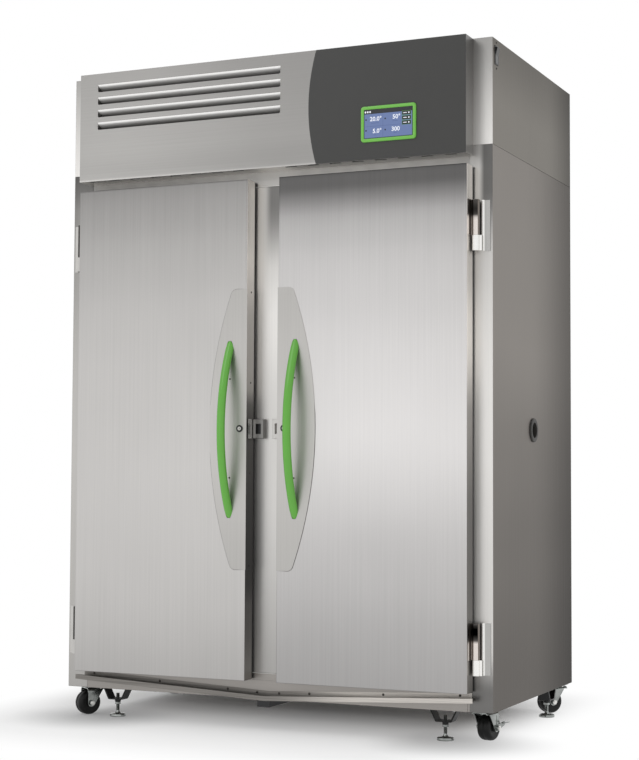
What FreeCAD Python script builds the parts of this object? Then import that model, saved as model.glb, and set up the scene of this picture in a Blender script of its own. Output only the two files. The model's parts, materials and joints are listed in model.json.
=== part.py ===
# Two-door plant growth chamber on casters and levelling feet, in millimetres.
# +X is the chamber's right, +Y its back and +Z up. The origin is on the floor, in the middle
# of the outline from the handles to the back panel. Each piece goes to parts/NAME.step.
import FreeCAD
import Part
import math
import os
from FreeCAD import Vector

X_AXIS = Vector(1, 0, 0)
Y_AXIS = Vector(0, 1, 0)
Z_AXIS = Vector(0, 0, 1)

# Insulated cabinet
CABINET_W = 1537.0
CABINET_D = 877.0
CABINET_H = 1770.0
GROUND = 100.0
WALL = 76.0
BASE_WALL = 82.0
DECK_WALL = 83.0
SKIN = 1.2
MULLION_W = 140.0
MULLION_D = 60.0
MULLION_WALL = 1.5

# Machine compartment and its header
MODULE_H = 340.0
COVER_T = 1.5
COVER_RETURN = 78.0
HEADER_INSET = 64.0
HEADER_REACH = 70.4
HEADER_LIFT = 35.0
HEADER_TOP_GAP = 2.0
FASCIA_T = 1.5
LOUVRE_COUNT = 4
LOUVRE_TO_PANEL = 102.0
LOUVRE_GAP = 27.0
LOUVRE_PITCH = 43.7
LOUVRE_DEPTH = 42.0
LOUVRE_BEND = 9.0
LOUVRE_LIP = 4.5
LOUVRE_CORNER = 5.0
LOUVRE_FROM_LEFT = 70.0
LOUVRE_FROM_TOP = 37.5
VENT_LENGTH = 40.0
VENT_WIDTH = 14.0
VENT_PITCH = 79.0
VENT_FIRST = 96.5
VENT_BACK = 48.4
VENT_ROWS_LIFT = 66.0
VENT_ROWS = 5
BACK_VENT_COLUMNS = 7

# Control panel and display
PANEL_T = 1.0
PANEL_W = 513.0
PANEL_BULGE = 27.0
DISPLAY_FROM_RIGHT = 259.0
DISPLAY_LIFT = 113.5
SCREEN_W = 166.0
SCREEN_H = 93.0
SCREEN_T = 4.0
BEZEL_BORDER = 11.0
BEZEL_T = 5.0
BEZEL_CORNER = 10.0
UNIT_D = 55.0
UNIT_INSET = 4.0

# Doors
DOOR_GAP = 12.0
DOOR_T = 52.0
DOOR_MARGIN = 62.9
DOOR_SPACING = 114.0
DOOR_LIFT = 62.4
DOOR_H = 1640.3
CORE_DISH = 6.0
CORE_BORDER = 70.0
GASKET_W = 11.0
GASKET_INSET = 1.5
GASKET_FOOT = 5.0
GASKET_BULB = 7.0
SEAT_GAP = 0.3

# Handle plate and bow handle
PLATE_T = 1.5
PLATE_LIFT = 358.6
PLATE_H = 919.0
PLATE_END_W = 52.0
PLATE_MID_W = 134.0
PLATE_CORNER = 22.0
PLATE_FLANGE = 50.0
HANDLE_X = 61.5
HANDLE_LIFT = 525.6
HANDLE_LENGTH = 582.0
HANDLE_RISE = 60.0
HANDLE_WIDE = 28.0
HANDLE_DEEP = 22.0

# Lock and latch
LOCK_X = 23.3
LOCK_LIFT = 818.6
LOCK_R = 11.0
LOCK_PROUD = 2.5
PLUG_R = 7.0
PLUG_CAM = 15.0
PLUG_CAM_T = 3.0
KEY_SLOT = 1.6
CASE_W = 44.0
CASE_H = 64.0
CASE_D = 28.0
CASE_T = 2.0
CASE_FROM_FRONT = 14.0
KEEPER_W = 38.0
KEEPER_D = 20.0
KEEPER_POCKET_W = 19.0
KEEPER_POCKET_H = 34.0
KEEPER_POCKET_D = 14.0
KEEPER_FROM_EDGE = 3.0

# Hinges
HINGE_H = 160.0
HINGE_LOW = 116.0
HINGE_HIGH = 1432.0
HINGE_FOOT = 48.0
HINGE_OUT = 16.0
HINGE_FORWARD = 25.0
KNUCKLE_W = 22.0
KNUCKLE_D = 20.0
KNUCKLE_CORNER = 6.0
PIN_R = 5.0
LEAF_T = 3.0
LEAF_D = 42.0
FLANGE_GAP = 3.5
FLANGE_W = 25.0
FLANGE_T = 3.0
FLANGE_RIB_W = 5.0
FLANGE_RIB_D = 12.0
FLANGE_SLOPE_W = 8.0
HINGE_ARM_D = 14.0
RUNNING = 0.05
HINGE_GAP = 0.5

# Drip tray and drain channel
TRAY_END_INSET = 68.5
TRAY_FLARE = 15.0
TRAY_REACH = 40.0
TRAY_SLOPE = 0.047
TRAY_LOW = -1.5
TRAY_FLANGE = 28.0
TRAY_LIP = 15.5
TRAY_HEM = 6.0
TRAY_T = 1.5
CHANNEL_X = -20.0
CHANNEL_W = 44.0
CHANNEL_H = 27.0
CHANNEL_T = 2.0
CHANNEL_LENGTH = 560.0
KICK_H = 60.0
KICK_T = 2.0
KICK_INSETS = (80.0, 83.0)

# Casters
WHEEL_R = 41.0
WHEEL_W = 46.0
TREAD_CORNER = 13.0
HUB_R = 12.0
AXLE_R = 5.0
FORK_GAP = 4.0
FORK_T = 3.0
FORK_SHOULDER = 12.0
FORK_EYE = 13.0
FORK_LEAD = 24.0
FORK_BROW = 7.0
LEG_LEAD = 11.0
GROOVE_W = 9.0
GROOVE_DEPTH = 1.0
GROOVE_SHIFT = 5.0
GROOVE_RISE = 16.0
TRAIL = 32.0
RACE_R = 20.0
RACE_H = 3.5
TOP_PLATE = 64.0
TOP_PLATE_T = 4.0
NUT_R = 9.0
NUT_T = 5.0
KINGPIN_R = 6.0
KINGPIN_HEAD_R = 9.0
KINGPIN_HEAD_T = 3.5
FRONT_CASTER_SIDE = 60.5
FRONT_CASTER_IN = 85.5
REAR_CASTER_SIDE = 39.0
REAR_CASTER_IN = 50.9
CASTER_ANGLES = (57.4, -101.2, 120.0, 46.4)
LEVER_T = 3.0
LEVER_REACH = 44.0
LEVER_ROOT_W = 20.0
LEVER_W = 12.0
LEVER_RISE = 10.5
PEDAL_L = 12.0
PEDAL_OUT = 22.0
PEDAL_TILT = 14.0

# Levelling feet
FOOT_R = 27.0
FOOT_H = 11.0
FOOT_EDGE = 3.0
FOOT_CROWN = 1.5
FOOT_HUB_R = 10.0
FOOT_HUB_H = 8.0
STUD_R = 6.0
STUD_TIP = 1.0
STUD_ABOVE = 17.0
LOCK_NUT_AF = 19.0
LOCK_NUT_H = 8.0
LOCK_NUT_GAP = 0.5
BRACKET_T = 4.0
BRACKET_W = 40.0
BRACKET_DROP = 42.0
BRACKET_FLAT = 54.0
BRACKET_SPREAD = 92.0
BRACKET_TAB = 14.0
BRACKET_BEND = 6.0
WELD_NUT_R = 10.0
WELD_NUT_H = 8.0
STUD_CLEAR = 0.08
FRONT_FOOT_SIDES = (163.5, 177.5)
FRONT_FOOT_IN = 59.0
REAR_FOOT_SIDE = 39.0
REAR_FOOT_IN = 180.0

# Access port and wiring device in the right side
PORT_IN = 421.0
PORT_LIFT = 882.6
PORT_R = 25.5
PORT_WALL = 4.5
PORT_RING_R = 40.0
PORT_RING_T = 6.0
PORT_LIP_R = 36.0
PORT_LIP_T = 3.0
DEVICE_IN = 37.7
DEVICE_DROP = 52.5
DEVICE_W = 34.5
DEVICE_H = 61.0
DEVICE_D = 40.0
DEVICE_STRAP_W = 40.0
DEVICE_STRAP_H = 98.0
DEVICE_STRAP_T = 1.5
DEVICE_LIP = 2.0
DEVICE_WALL = 3.0
ROCKER_GAP = 0.5
ROCKER_T = 6.0
ROCKER_PIVOT = 10.0
ROCKER_THROW = 14.0

# Shelves, lamps and their standards
STANDARD_W = 20.0
STANDARD_D = 12.0
STANDARD_T = 1.5
STANDARD_SLOT = 6.0
STANDARD_PITCH = 100.0
STANDARD_FRONT = 110.0
STANDARD_TO_PLENUM = 79.8
SHELF_TO_PLENUM = 44.8
SHELF_FRONT = 75.0
SHELF_RAIL = 16.0
SHELF_BAR = 5.0
SHELF_PITCH = 33.0
SHELF_TIERS = 3
FIRST_SHELF = 80.0
TIER_PITCH = 510.0
CANOPY_H = 42.0
CANOPY_INSET = 24.0
CANOPY_DRAFT = 14.0
CANOPY_T = 1.5
LENS_INSET = 30.0
LENS_DROP = 3.0

# Air plenum, fan and coil behind the growing space
PLENUM_D = 120.0
PLENUM_T = 1.5
PLENUM_GAP = 0.3
INLET_R = 122.0
FAN_R = 112.0
BLADE_ROOM = 78.0
FAN_HUB_R = 30.0
FAN_DEPTH = 36.0
FAN_BLADES = 5
BLADE_T = 2.5
BLADE_PITCH = 28.0
FAN_DROP = 307.0
MOTOR_R = 26.0
SHAFT_R = 4.0
ARM_W = 16.0
ARM_T = 3.0
OUTLET_H = 14.0
OUTLET_COUNT = 5
OUTLET_PITCH = 40.0
OUTLET_MARGIN = 120.0
COIL_W = 900.0
COIL_H = 320.0
COIL_D = 70.0
COIL_LIFT = 718.0
FIN_T = 3.0
FIN_PITCH = 30.0
COIL_EDGE = 12.0

# Machine compartment contents
COMPRESSOR_X = 330.0
COMPRESSOR_IN = 430.0
COMPRESSOR_R = 92.0
COMPRESSOR_H = 205.0
COMPRESSOR_FOOT = 230.0
COMPRESSOR_FOOT_D = 161.0
COMPRESSOR_FOOT_T = 12.0
SHELL_BASE_R = 74.0
SHELL_BASE_H = 28.0
SHELL_SEAM_H = 113.0
SHELL_STEP = 5.5
SHELL_STEP_H = 14.0
SHELL_DOME_H = 164.0
TERMINAL_W = 48.0
TERMINAL_H = 60.0
CONDENSER_W = 620.0
CONDENSER_H = 270.0
CONDENSER_D = 60.0
CONDENSER_IN = 40.0
CONDENSER_X = -286.0
SHROUD_D = 50.0
CONDENSER_FAN_Z = 135.0

# Places worked out from the sizes
HANDLE_FRONT = DOOR_GAP + DOOR_T + PLATE_T + HANDLE_RISE + HANDLE_DEEP / 2
FRONT = -(CABINET_D - HANDLE_FRONT) / 2
BACK = FRONT + CABINET_D
SIDE = CABINET_W / 2
BOTTOM = GROUND
SEAM = BOTTOM + CABINET_H
TOP = SEAM + MODULE_H
INNER_X = SIDE - WALL
INNER_BACK = BACK - WALL
FLOOR_Z = BOTTOM + BASE_WALL
CEILING_Z = SEAM - DECK_WALL
DOOR_BACK = FRONT - DOOR_GAP
DOOR_FRONT = DOOR_BACK - DOOR_T
DOOR_FREE_X = DOOR_SPACING / 2
DOOR_HINGE_X = SIDE - DOOR_MARGIN
DOOR_Z = BOTTOM + DOOR_LIFT
PIVOT_X = DOOR_HINGE_X + HINGE_OUT
PIVOT_Y = FRONT - HINGE_FORWARD
HEADER_X = SIDE - HEADER_INSET
HEADER_Z = (SEAM - HEADER_LIFT, TOP - HEADER_TOP_GAP)
PANEL_LEFT = HEADER_X - PANEL_W
DISPLAY_X = HEADER_X - DISPLAY_FROM_RIGHT
DISPLAY_Z = HEADER_Z[0] + DISPLAY_LIFT
HEADER_FRONT = FRONT - HEADER_REACH
LOCK_Z = DOOR_Z + LOCK_LIFT
PLENUM_FRONT = INNER_BACK - SKIN - PLENUM_D
SHELF_Y = (FRONT + SHELF_FRONT, PLENUM_FRONT - SHELF_TO_PLENUM)
FAN_Z = CEILING_Z - FAN_DROP
COIL_Z = FLOOR_Z + COIL_LIFT
FORK_TOP = BOTTOM - TOP_PLATE_T - RACE_H - SEAT_GAP
FORK_INNER = WHEEL_W / 2 + FORK_GAP
PORT_POINT = Vector(SIDE, FRONT + PORT_IN, BOTTOM + PORT_LIFT)
DEVICE_POINT = Vector(SIDE, FRONT + DEVICE_IN, TOP - DEVICE_DROP)


def box(x, y, z):
    low = Vector(x[0], y[0], z[0])
    return Part.makeBox(x[1] - x[0], y[1] - y[0], z[1] - z[0], low)


def centred(middle, width):
    return (middle - width / 2, middle + width / 2)


def rod(radius, start, axis, length):
    return Part.makeCylinder(radius, length, start, axis)


def polygon_face(points):
    return Part.Face(Part.makePolygon(points + [points[0]]))


def mirrored(shape):
    return shape.mirror(Vector(0, 0, 0), X_AXIS)


def joined(shapes):
    whole = shapes[0].multiFuse(shapes[1:])
    return whole.removeSplitter()


def rounded_block(x, y, z, corner):
    """A box whose four upright edges are rounded."""
    block = box(x, y, z)
    upright = [e for e in block.Edges if abs(e.Vertexes[0].Z - e.Vertexes[1].Z) > corner / 2]
    return block.makeFillet(corner, upright)


def rounded_tablet(x, y, z, corner):
    """A box whose four edges along Y are rounded."""
    block = box(x, y, z)
    deep = [e for e in block.Edges if abs(e.Vertexes[0].Y - e.Vertexes[1].Y) > (y[1] - y[0]) / 2]
    return block.makeFillet(corner, deep)


def save(name, shape):
    shape.exportStep(os.path.join("parts", name + ".step"))


# Insulated cabinet: folded sheet pans, each filled with an insulation board

def pan_and_board(x, y, z, open_side):
    """A sheet pan with one open side, and the board that fills it."""
    spans = {"x": list(x), "y": list(y), "z": list(z)}
    inner = {axis: [span[0] + SKIN, span[1] - SKIN] for axis, span in spans.items()}
    end = 1 if open_side[0] == "+" else 0
    inner[open_side[1]][end] = spans[open_side[1]][end]
    board = box(inner["x"], inner["y"], inner["z"])
    return box(x, y, z).cut(board), board


def port_bore():
    radius = PORT_R + PORT_WALL + SEAT_GAP
    start = PORT_POINT - X_AXIS * (WALL + WALL)
    return rod(radius, start, X_AXIS, WALL * 3)


def cabinet_shell():
    """The five outer pans, their boards and the liner tub inside them."""
    full = (BOTTOM, SEAM)
    across = (-INNER_X, INNER_X)
    right, right_board = pan_and_board((INNER_X, SIDE), (FRONT, BACK), full, "-x")
    left, left_board = mirrored(right), mirrored(right_board)
    back, back_board = pan_and_board(across, (INNER_BACK, BACK), full, "-y")
    base, base_board = pan_and_board(across, (FRONT, INNER_BACK), (BOTTOM, FLOOR_Z), "+z")
    deck, deck_board = pan_and_board(across, (FRONT, INNER_BACK), (CEILING_Z, SEAM), "-z")
    bore = port_bore()
    save("side_panel_right", right.cut(bore))
    save("side_panel_left", left)
    save("back_panel", back)
    kick_x = (-SIDE + KICK_INSETS[0], SIDE - KICK_INSETS[1])
    kick = box(kick_x, (FRONT - KICK_T, FRONT), (BOTTOM, BOTTOM + KICK_H))
    save("base_pan", joined([base, kick]))
    save("top_deck", deck)
    boards = [right_board.cut(bore), left_board, back_board, base_board, deck_board]
    save("insulation", Part.makeCompound(boards))
    inner_x = (-INNER_X + SKIN, INNER_X - SKIN)
    tub = box(across, (FRONT, INNER_BACK), (FLOOR_Z, CEILING_Z))
    room = box(inner_x, (FRONT, INNER_BACK - SKIN), (FLOOR_Z + SKIN, CEILING_Z - SKIN))
    save("inner_liner", tub.cut(room).cut(bore))


def mullion():
    x = centred(0, MULLION_W)
    y = (FRONT, FRONT + MULLION_D)
    z = (FLOOR_Z + SKIN, CEILING_Z - SKIN)
    wall = MULLION_WALL
    hollow = box((x[0] + wall, x[1] - wall), (y[0] + wall, y[1] - wall), (z[0] + wall, z[1] - wall))
    save("mullion", box(x, y, z).cut(hollow))


# Machine compartment cover: sides, roof and a vented back, open in front and below

def module_cover():
    x = (-SIDE, SIDE)
    z = (SEAM, TOP)
    outer = box(x, (FRONT, BACK), z)
    inner_x = (x[0] + COVER_T, x[1] - COVER_T)
    inner = box(inner_x, (FRONT + COVER_T, BACK - COVER_T), (z[0], z[1] - COVER_T))
    mouth = box((-SIDE + COVER_RETURN, SIDE - COVER_RETURN), (FRONT, FRONT + COVER_T), z)
    shell = outer.cut(inner).cut(mouth)
    slots = []
    for column in range(BACK_VENT_COLUMNS):
        for row in range(VENT_ROWS):
            middle = (column - (BACK_VENT_COLUMNS - 1) / 2) * 2 * VENT_PITCH
            low = SEAM + VENT_ROWS_LIFT + row * LOUVRE_PITCH
            slot_z = (low, low + VENT_WIDTH)
            slots.append(box(centred(middle, VENT_PITCH), (BACK - COVER_T, BACK), slot_z))
    opening = device_opening(DEVICE_W, DEVICE_H)
    save("module_cover", shell.cut(Part.makeCompound(slots)).cut(opening))


# Header: one folded fascia with pressed louvres and a slotted underside

def louvre_profile(top_z):
    """Where the blade's bend ends and where its slope ends, seen from the side.

    The bend leaves the face upright at the top of the opening, and the slope is tangent to it.
    """
    drop = LOUVRE_GAP - LOUVRE_LIP
    level = LOUVRE_DEPTH - LOUVRE_BEND
    turn = math.acos(-LOUVRE_BEND / math.hypot(level, drop)) - math.atan2(drop, level)

    def on_bend(angle):
        y = HEADER_FRONT + LOUVRE_BEND * (1 - math.cos(angle))
        return y, top_z - LOUVRE_BEND * math.sin(angle)

    return on_bend(turn / 2), on_bend(turn), (HEADER_FRONT + LOUVRE_DEPTH, top_z - drop)


def louvre_blade(top_z, x):
    """A blade that bends in from the face at the top of its opening and slopes down behind it."""
    mid_bend, bend_end, tip = [Vector(x[0], y, z) for y, z in louvre_profile(top_z)]
    top = Vector(x[0], HEADER_FRONT, top_z)
    lift = Vector(0, 0, FASCIA_T)
    edges = [
        Part.Arc(top, mid_bend, bend_end).toShape(),
        Part.makeLine(bend_end, tip),
        Part.makeLine(tip, tip + lift),
        Part.makeLine(tip + lift, bend_end + lift),
        Part.Arc(bend_end + lift, mid_bend + lift, top + lift).toShape(),
        Part.makeLine(top + lift, top),
    ]
    return Part.Face(Part.Wire(edges)).extrude(X_AXIS * (x[1] - x[0]))


def louvre_cheek(top_z, x):
    """The end wall that closes the gap between a blade and the face."""
    low_z = top_z - LOUVRE_GAP
    mid_bend, bend_end, tip = louvre_profile(top_z)
    outline = [
        (HEADER_FRONT, top_z + FASCIA_T),
        (HEADER_FRONT, low_z),
        (tip[0], low_z),
        (tip[0], tip[1] + FASCIA_T),
        (bend_end[0], bend_end[1] + FASCIA_T),
        (mid_bend[0], mid_bend[1] + FASCIA_T),
    ]
    return polygon_face([Vector(x[0], y, z) for y, z in outline]).extrude(X_AXIS * (x[1] - x[0]))


def louvre_opening(top_z, x):
    """The opening in the face, square at the top and rounded at its lower corners."""
    y = (HEADER_FRONT, HEADER_FRONT + FASCIA_T)
    tall = rounded_tablet(x, y, (top_z - LOUVRE_GAP, top_z + 2 * LOUVRE_CORNER), LOUVRE_CORNER)
    return tall.common(box(x, y, (top_z - LOUVRE_GAP, top_z)))


def screen_window(margin):
    x = centred(DISPLAY_X, SCREEN_W + 2 * margin)
    z = centred(DISPLAY_Z, SCREEN_H + 2 * margin)
    return box(x, (HEADER_FRONT - PANEL_T - BEZEL_T, FRONT), z)


def header_fascia():
    x = (-HEADER_X, HEADER_X)
    t = FASCIA_T
    z = HEADER_Z
    shell = box(x, (HEADER_FRONT, FRONT), z)
    room = box((x[0] + t, x[1] - t), (HEADER_FRONT + t, FRONT), (z[0] + t, z[1] - t))
    shell = shell.cut(room)
    span = (x[0] + LOUVRE_FROM_LEFT, PANEL_LEFT - PANEL_BULGE - LOUVRE_TO_PANEL)
    openings = []
    blades = []
    for index in range(LOUVRE_COUNT):
        top_z = z[1] - LOUVRE_FROM_TOP - index * LOUVRE_PITCH
        openings.append(louvre_opening(top_z, span))
        blades.append(louvre_blade(top_z, span))
        blades.append(louvre_cheek(top_z, (span[0] - t, span[0])))
        blades.append(louvre_cheek(top_z, (span[1], span[1] + t)))
    vents = []
    vents_per_side = int((HEADER_X - VENT_LENGTH / 2 - VENT_FIRST) / VENT_PITCH) + 1
    for index in range(vents_per_side):
        for side in (-1, 1):
            middle = side * (VENT_FIRST + index * VENT_PITCH)
            y = (FRONT - VENT_BACK - VENT_WIDTH, FRONT - VENT_BACK)
            vents.append(box(centred(middle, VENT_LENGTH), y, (z[0], z[0] + t)))
    shell = shell.cut(Part.makeCompound(openings + vents))
    shell = shell.cut(screen_window(SEAT_GAP))
    save("header_fascia", joined([shell] + blades))


def control_panel():
    """The dark panel on the header's right part, with a bulging left edge."""
    right = HEADER_X
    low, high = HEADER_Z
    y = HEADER_FRONT - PANEL_T
    foot = Vector(PANEL_LEFT, y, low)
    head = Vector(PANEL_LEFT, y, high)
    bulge = Vector(PANEL_LEFT - PANEL_BULGE, y, (low + high) / 2)
    edge = Part.Arc(foot, bulge, head).toShape()
    corner_high = Vector(right, y, high)
    corner_low = Vector(right, y, low)
    sides = [
        edge,
        Part.makeLine(head, corner_high),
        Part.makeLine(corner_high, corner_low),
        Part.makeLine(corner_low, foot),
    ]
    panel = Part.Face(Part.Wire(sides)).extrude(Y_AXIS * PANEL_T)
    save("control_panel", panel.cut(screen_window(SEAT_GAP)))


def display():
    face_y = HEADER_FRONT - PANEL_T
    outer_x = centred(DISPLAY_X, SCREEN_W + 2 * BEZEL_BORDER)
    outer_z = centred(DISPLAY_Z, SCREEN_H + 2 * BEZEL_BORDER)
    ring = rounded_tablet(outer_x, (face_y - BEZEL_T, face_y), outer_z, BEZEL_CORNER)
    save("display_bezel", ring.cut(screen_window(SEAT_GAP)))
    glass_y = (face_y - SCREEN_T, face_y)
    glass = box(centred(DISPLAY_X, SCREEN_W), glass_y, centred(DISPLAY_Z, SCREEN_H))
    body_x = centred(DISPLAY_X, SCREEN_W - 2 * UNIT_INSET)
    body_z = centred(DISPLAY_Z, SCREEN_H - 2 * UNIT_INSET)
    body = box(body_x, (face_y, face_y + UNIT_D), body_z)
    save("display_unit", joined([glass, body]))


# Doors, modelled as the right one and mirrored for the left one

def door_spans():
    return (DOOR_FREE_X, DOOR_HINGE_X), (DOOR_FRONT, DOOR_BACK), (DOOR_Z, DOOR_Z + DOOR_H)


def lock_case_room(gap):
    """The block that the lock case takes up in the door, grown by a gap."""
    x = (DOOR_FREE_X - PLATE_T, DOOR_FREE_X + CASE_W + gap)
    y = (DOOR_FRONT + CASE_FROM_FRONT - gap, DOOR_FRONT + CASE_FROM_FRONT + CASE_D + gap)
    z = (LOCK_Z - CASE_H / 2 - gap, LOCK_Z + CASE_H / 2 + gap)
    return box(x, y, z)


def lock_barrel(radius, proud):
    start = Vector(DOOR_FREE_X + LOCK_X, DOOR_FRONT - PLATE_T - proud, LOCK_Z)
    return rod(radius, start, Y_AXIS, PLATE_T + proud + CASE_FROM_FRONT + CASE_T)


def door_panel_and_core():
    x, y, z = door_spans()
    core_x = (x[0] + SKIN, x[1] - SKIN)
    core_z = (z[0] + SKIN, z[1] - SKIN)
    core = box(core_x, (y[0] + SKIN, y[1]), core_z)
    pan = box(x, y, z).cut(core)
    dish_x = (x[0] + CORE_BORDER, x[1] - CORE_BORDER)
    dish_z = (z[0] + CORE_BORDER, z[1] - CORE_BORDER)
    dish = rounded_tablet(dish_x, (y[1] - CORE_DISH, y[1]), dish_z, PLATE_CORNER)
    room = lock_case_room(SEAT_GAP)
    barrel = lock_barrel(LOCK_R + SEAT_GAP, LOCK_PROUD)
    return pan.cut(room).cut(barrel), core.cut(dish).cut(room).cut(barrel)


def door_gasket():
    x, _, z = door_spans()

    def ring(inset, width, y):
        outer = box((x[0] + inset, x[1] - inset), y, (z[0] + inset, z[1] - inset))
        edge = inset + width
        hole = box((x[0] + edge, x[1] - edge), y, (z[0] + edge, z[1] - edge))
        return outer.cut(hole)

    foot = ring(GASKET_INSET, GASKET_W, (DOOR_BACK, DOOR_BACK + GASKET_FOOT))
    spare = (GASKET_W - GASKET_BULB) / 2
    bulb = ring(GASKET_INSET + spare, GASKET_BULB, (DOOR_BACK + GASKET_FOOT, FRONT - SEAT_GAP))
    return joined([foot, bulb])


def handle_plate():
    """A plate that covers the door's free edge and bulges out behind the handle."""
    low = DOOR_Z + PLATE_LIFT
    high = low + PLATE_H
    y = DOOR_FRONT - PLATE_T
    edge_x = DOOR_FREE_X
    foot = Vector(edge_x + PLATE_END_W, y, low)
    head = Vector(edge_x + PLATE_END_W, y, high)
    belly = Vector(edge_x + PLATE_MID_W, y, (low + high) / 2)
    sides = [
        Part.Arc(foot, belly, head).toShape(),
        Part.makeLine(head, Vector(edge_x, y, high)),
        Part.makeLine(Vector(edge_x, y, high), Vector(edge_x, y, low)),
        Part.makeLine(Vector(edge_x, y, low), foot),
    ]
    plate = Part.Face(Part.Wire(sides)).extrude(Y_AXIS * PLATE_T)
    corners = [e for e in plate.Edges if is_plate_corner(e, foot.x, low, high)]
    plate = plate.makeFillet(PLATE_CORNER, corners)
    flange = box((edge_x - PLATE_T, edge_x), (y, DOOR_FRONT + PLATE_FLANGE), (low, high))
    plate = joined([plate, flange])
    return plate.cut(lock_case_room(SEAT_GAP)).cut(lock_barrel(LOCK_R + SEAT_GAP, LOCK_PROUD))


def is_plate_corner(edge, x, low, high):
    """True for the two short edges where the arc meets the plate's top and bottom."""
    near = 0.01
    ends = [v.Point for v in edge.Vertexes]
    if len(ends) != 2 or any(abs(p.x - x) > near for p in ends):
        return False
    return any(all(abs(p.z - level) < near for p in ends) for level in (low, high))


def bow_handle():
    """An oval bar bent to one arc, its ends cut off flat where they meet the plate."""
    seat_y = DOOR_FRONT - PLATE_T
    half = HANDLE_LENGTH / 2
    peak = HANDLE_RISE + HANDLE_DEEP / 2
    middle_z = DOOR_Z + HANDLE_LIFT + half
    radius = (half * half + peak * peak) / (2 * peak)
    x = DOOR_FREE_X + HANDLE_X
    centre = Vector(x, seat_y - peak + radius, middle_z)
    top = Vector(x, seat_y - HANDLE_RISE, middle_z)
    oval = Part.Ellipse(top, HANDLE_WIDE / 2, HANDLE_DEEP / 2)
    profile = Part.Face(Part.Wire([oval.toShape()]))
    sweep = 2 * math.degrees(math.asin(half / radius) + HANDLE_WIDE / radius)
    profile.rotate(centre, X_AXIS, -sweep / 2)
    bar = profile.revolve(centre, X_AXIS, sweep)
    reach_y = (seat_y - 2 * HANDLE_RISE, seat_y)
    reach = box(centred(x, HANDLE_WIDE * 2), reach_y, centred(middle_z, HANDLE_LENGTH * 2))
    return bar.common(reach)


def lock_case():
    """The case behind the free edge, its edge plate and the round barrel in front."""
    x = (DOOR_FREE_X - PLATE_T, DOOR_FREE_X + CASE_W)
    y = (DOOR_FRONT + CASE_FROM_FRONT, DOOR_FRONT + CASE_FROM_FRONT + CASE_D)
    z = centred(LOCK_Z, CASE_H)
    body = joined([box(x, y, z), lock_barrel(LOCK_R, LOCK_PROUD)])
    t = CASE_T
    room = box((x[0] + t + PLATE_T, x[1] - t), (y[0] + t, y[1] - t), (z[0] + t, z[1] - t))
    return body.cut(room).cut(lock_barrel(PLUG_R + RUNNING, LOCK_PROUD + 1))


def lock_plug():
    """The turning plug: a round core with a key slot, and the cam at its back."""
    front = DOOR_FRONT - PLATE_T - LOCK_PROUD
    back = DOOR_FRONT + CASE_FROM_FRONT + CASE_T
    axis = Vector(DOOR_FREE_X + LOCK_X, front, LOCK_Z)
    core = rod(PLUG_R, axis, Y_AXIS, back - front + RUNNING)
    cam_y = (back + RUNNING, back + RUNNING + PLUG_CAM_T)
    cam = box(centred(axis.x, PLUG_R), cam_y, (LOCK_Z - PLUG_R / 2, LOCK_Z + PLUG_CAM))
    slot = box(centred(axis.x, KEY_SLOT), (front, front + PLUG_CAM_T), centred(LOCK_Z, PLUG_R))
    return joined([core, cam]).cut(slot)


def knuckle(z):
    x = centred(PIVOT_X, KNUCKLE_W)
    y = centred(PIVOT_Y, KNUCKLE_D)
    return rounded_block(x, y, z, KNUCKLE_CORNER)


def hinge_pair(low):
    """The door half and the frame half of one hinge, whose pin stands in the frame half."""
    split = low + HINGE_FOOT
    high = low + HINGE_H
    door_z = (split + HINGE_GAP, high)
    leaf = box((DOOR_HINGE_X, DOOR_HINGE_X + LEAF_T), centred(PIVOT_Y - KNUCKLE_D / 2, LEAF_D), door_z)
    web = box((DOOR_HINGE_X, PIVOT_X), centred(PIVOT_Y, KNUCKLE_D - 2 * KNUCKLE_CORNER), door_z)
    door_half = joined([knuckle(door_z), leaf, web])
    start = Vector(PIVOT_X, PIVOT_Y, low)
    door_half = door_half.cut(rod(PIN_R + RUNNING, start, Z_AXIS, HINGE_H))
    foot = knuckle((low, split))
    pin = rod(PIN_R, start, Z_AXIS, HINGE_H - HINGE_GAP)
    flange_x = PIVOT_X + KNUCKLE_W / 2 + FLANGE_GAP
    arm = box((PIVOT_X, flange_x + FLANGE_RIB_W), (FRONT - FLANGE_RIB_D - HINGE_ARM_D, FRONT), (low, split))
    return door_half, joined([foot, pin, arm, frame_flange(flange_x, low, high)])


def frame_flange(x, low, high):
    """The frame half's flange: a rib beside the knuckles that slopes down to a flat edge."""
    rib = x + FLANGE_RIB_W
    outline = [
        (x, FRONT),
        (x, FRONT - FLANGE_RIB_D),
        (rib, FRONT - FLANGE_RIB_D),
        (rib + FLANGE_SLOPE_W, FRONT - FLANGE_T),
        (x + FLANGE_W, FRONT - FLANGE_T),
        (x + FLANGE_W, FRONT),
    ]
    face = polygon_face([Vector(px, py, low) for px, py in outline])
    return face.extrude(Z_AXIS * (high - low))


def doors():
    panel, core = door_panel_and_core()
    pieces = {
        "door_panel": panel,
        "door_core": core,
        "door_gasket": door_gasket(),
        "handle_plate": handle_plate(),
        "door_handle": bow_handle(),
        "lock_case": lock_case(),
        "lock_plug": lock_plug(),
    }
    pairs = [hinge_pair(BOTTOM + lift) for lift in (HINGE_LOW, HINGE_HIGH)]
    pieces["hinge_leaves"] = Part.makeCompound([pair[0] for pair in pairs])
    for name, shape in pieces.items():
        save(name + "_right", shape)
        save(name + "_left", mirrored(shape))
    frame_halves = [pair[1] for pair in pairs]
    save("frame_hinges", Part.makeCompound(frame_halves + [mirrored(half) for half in frame_halves]))


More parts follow.
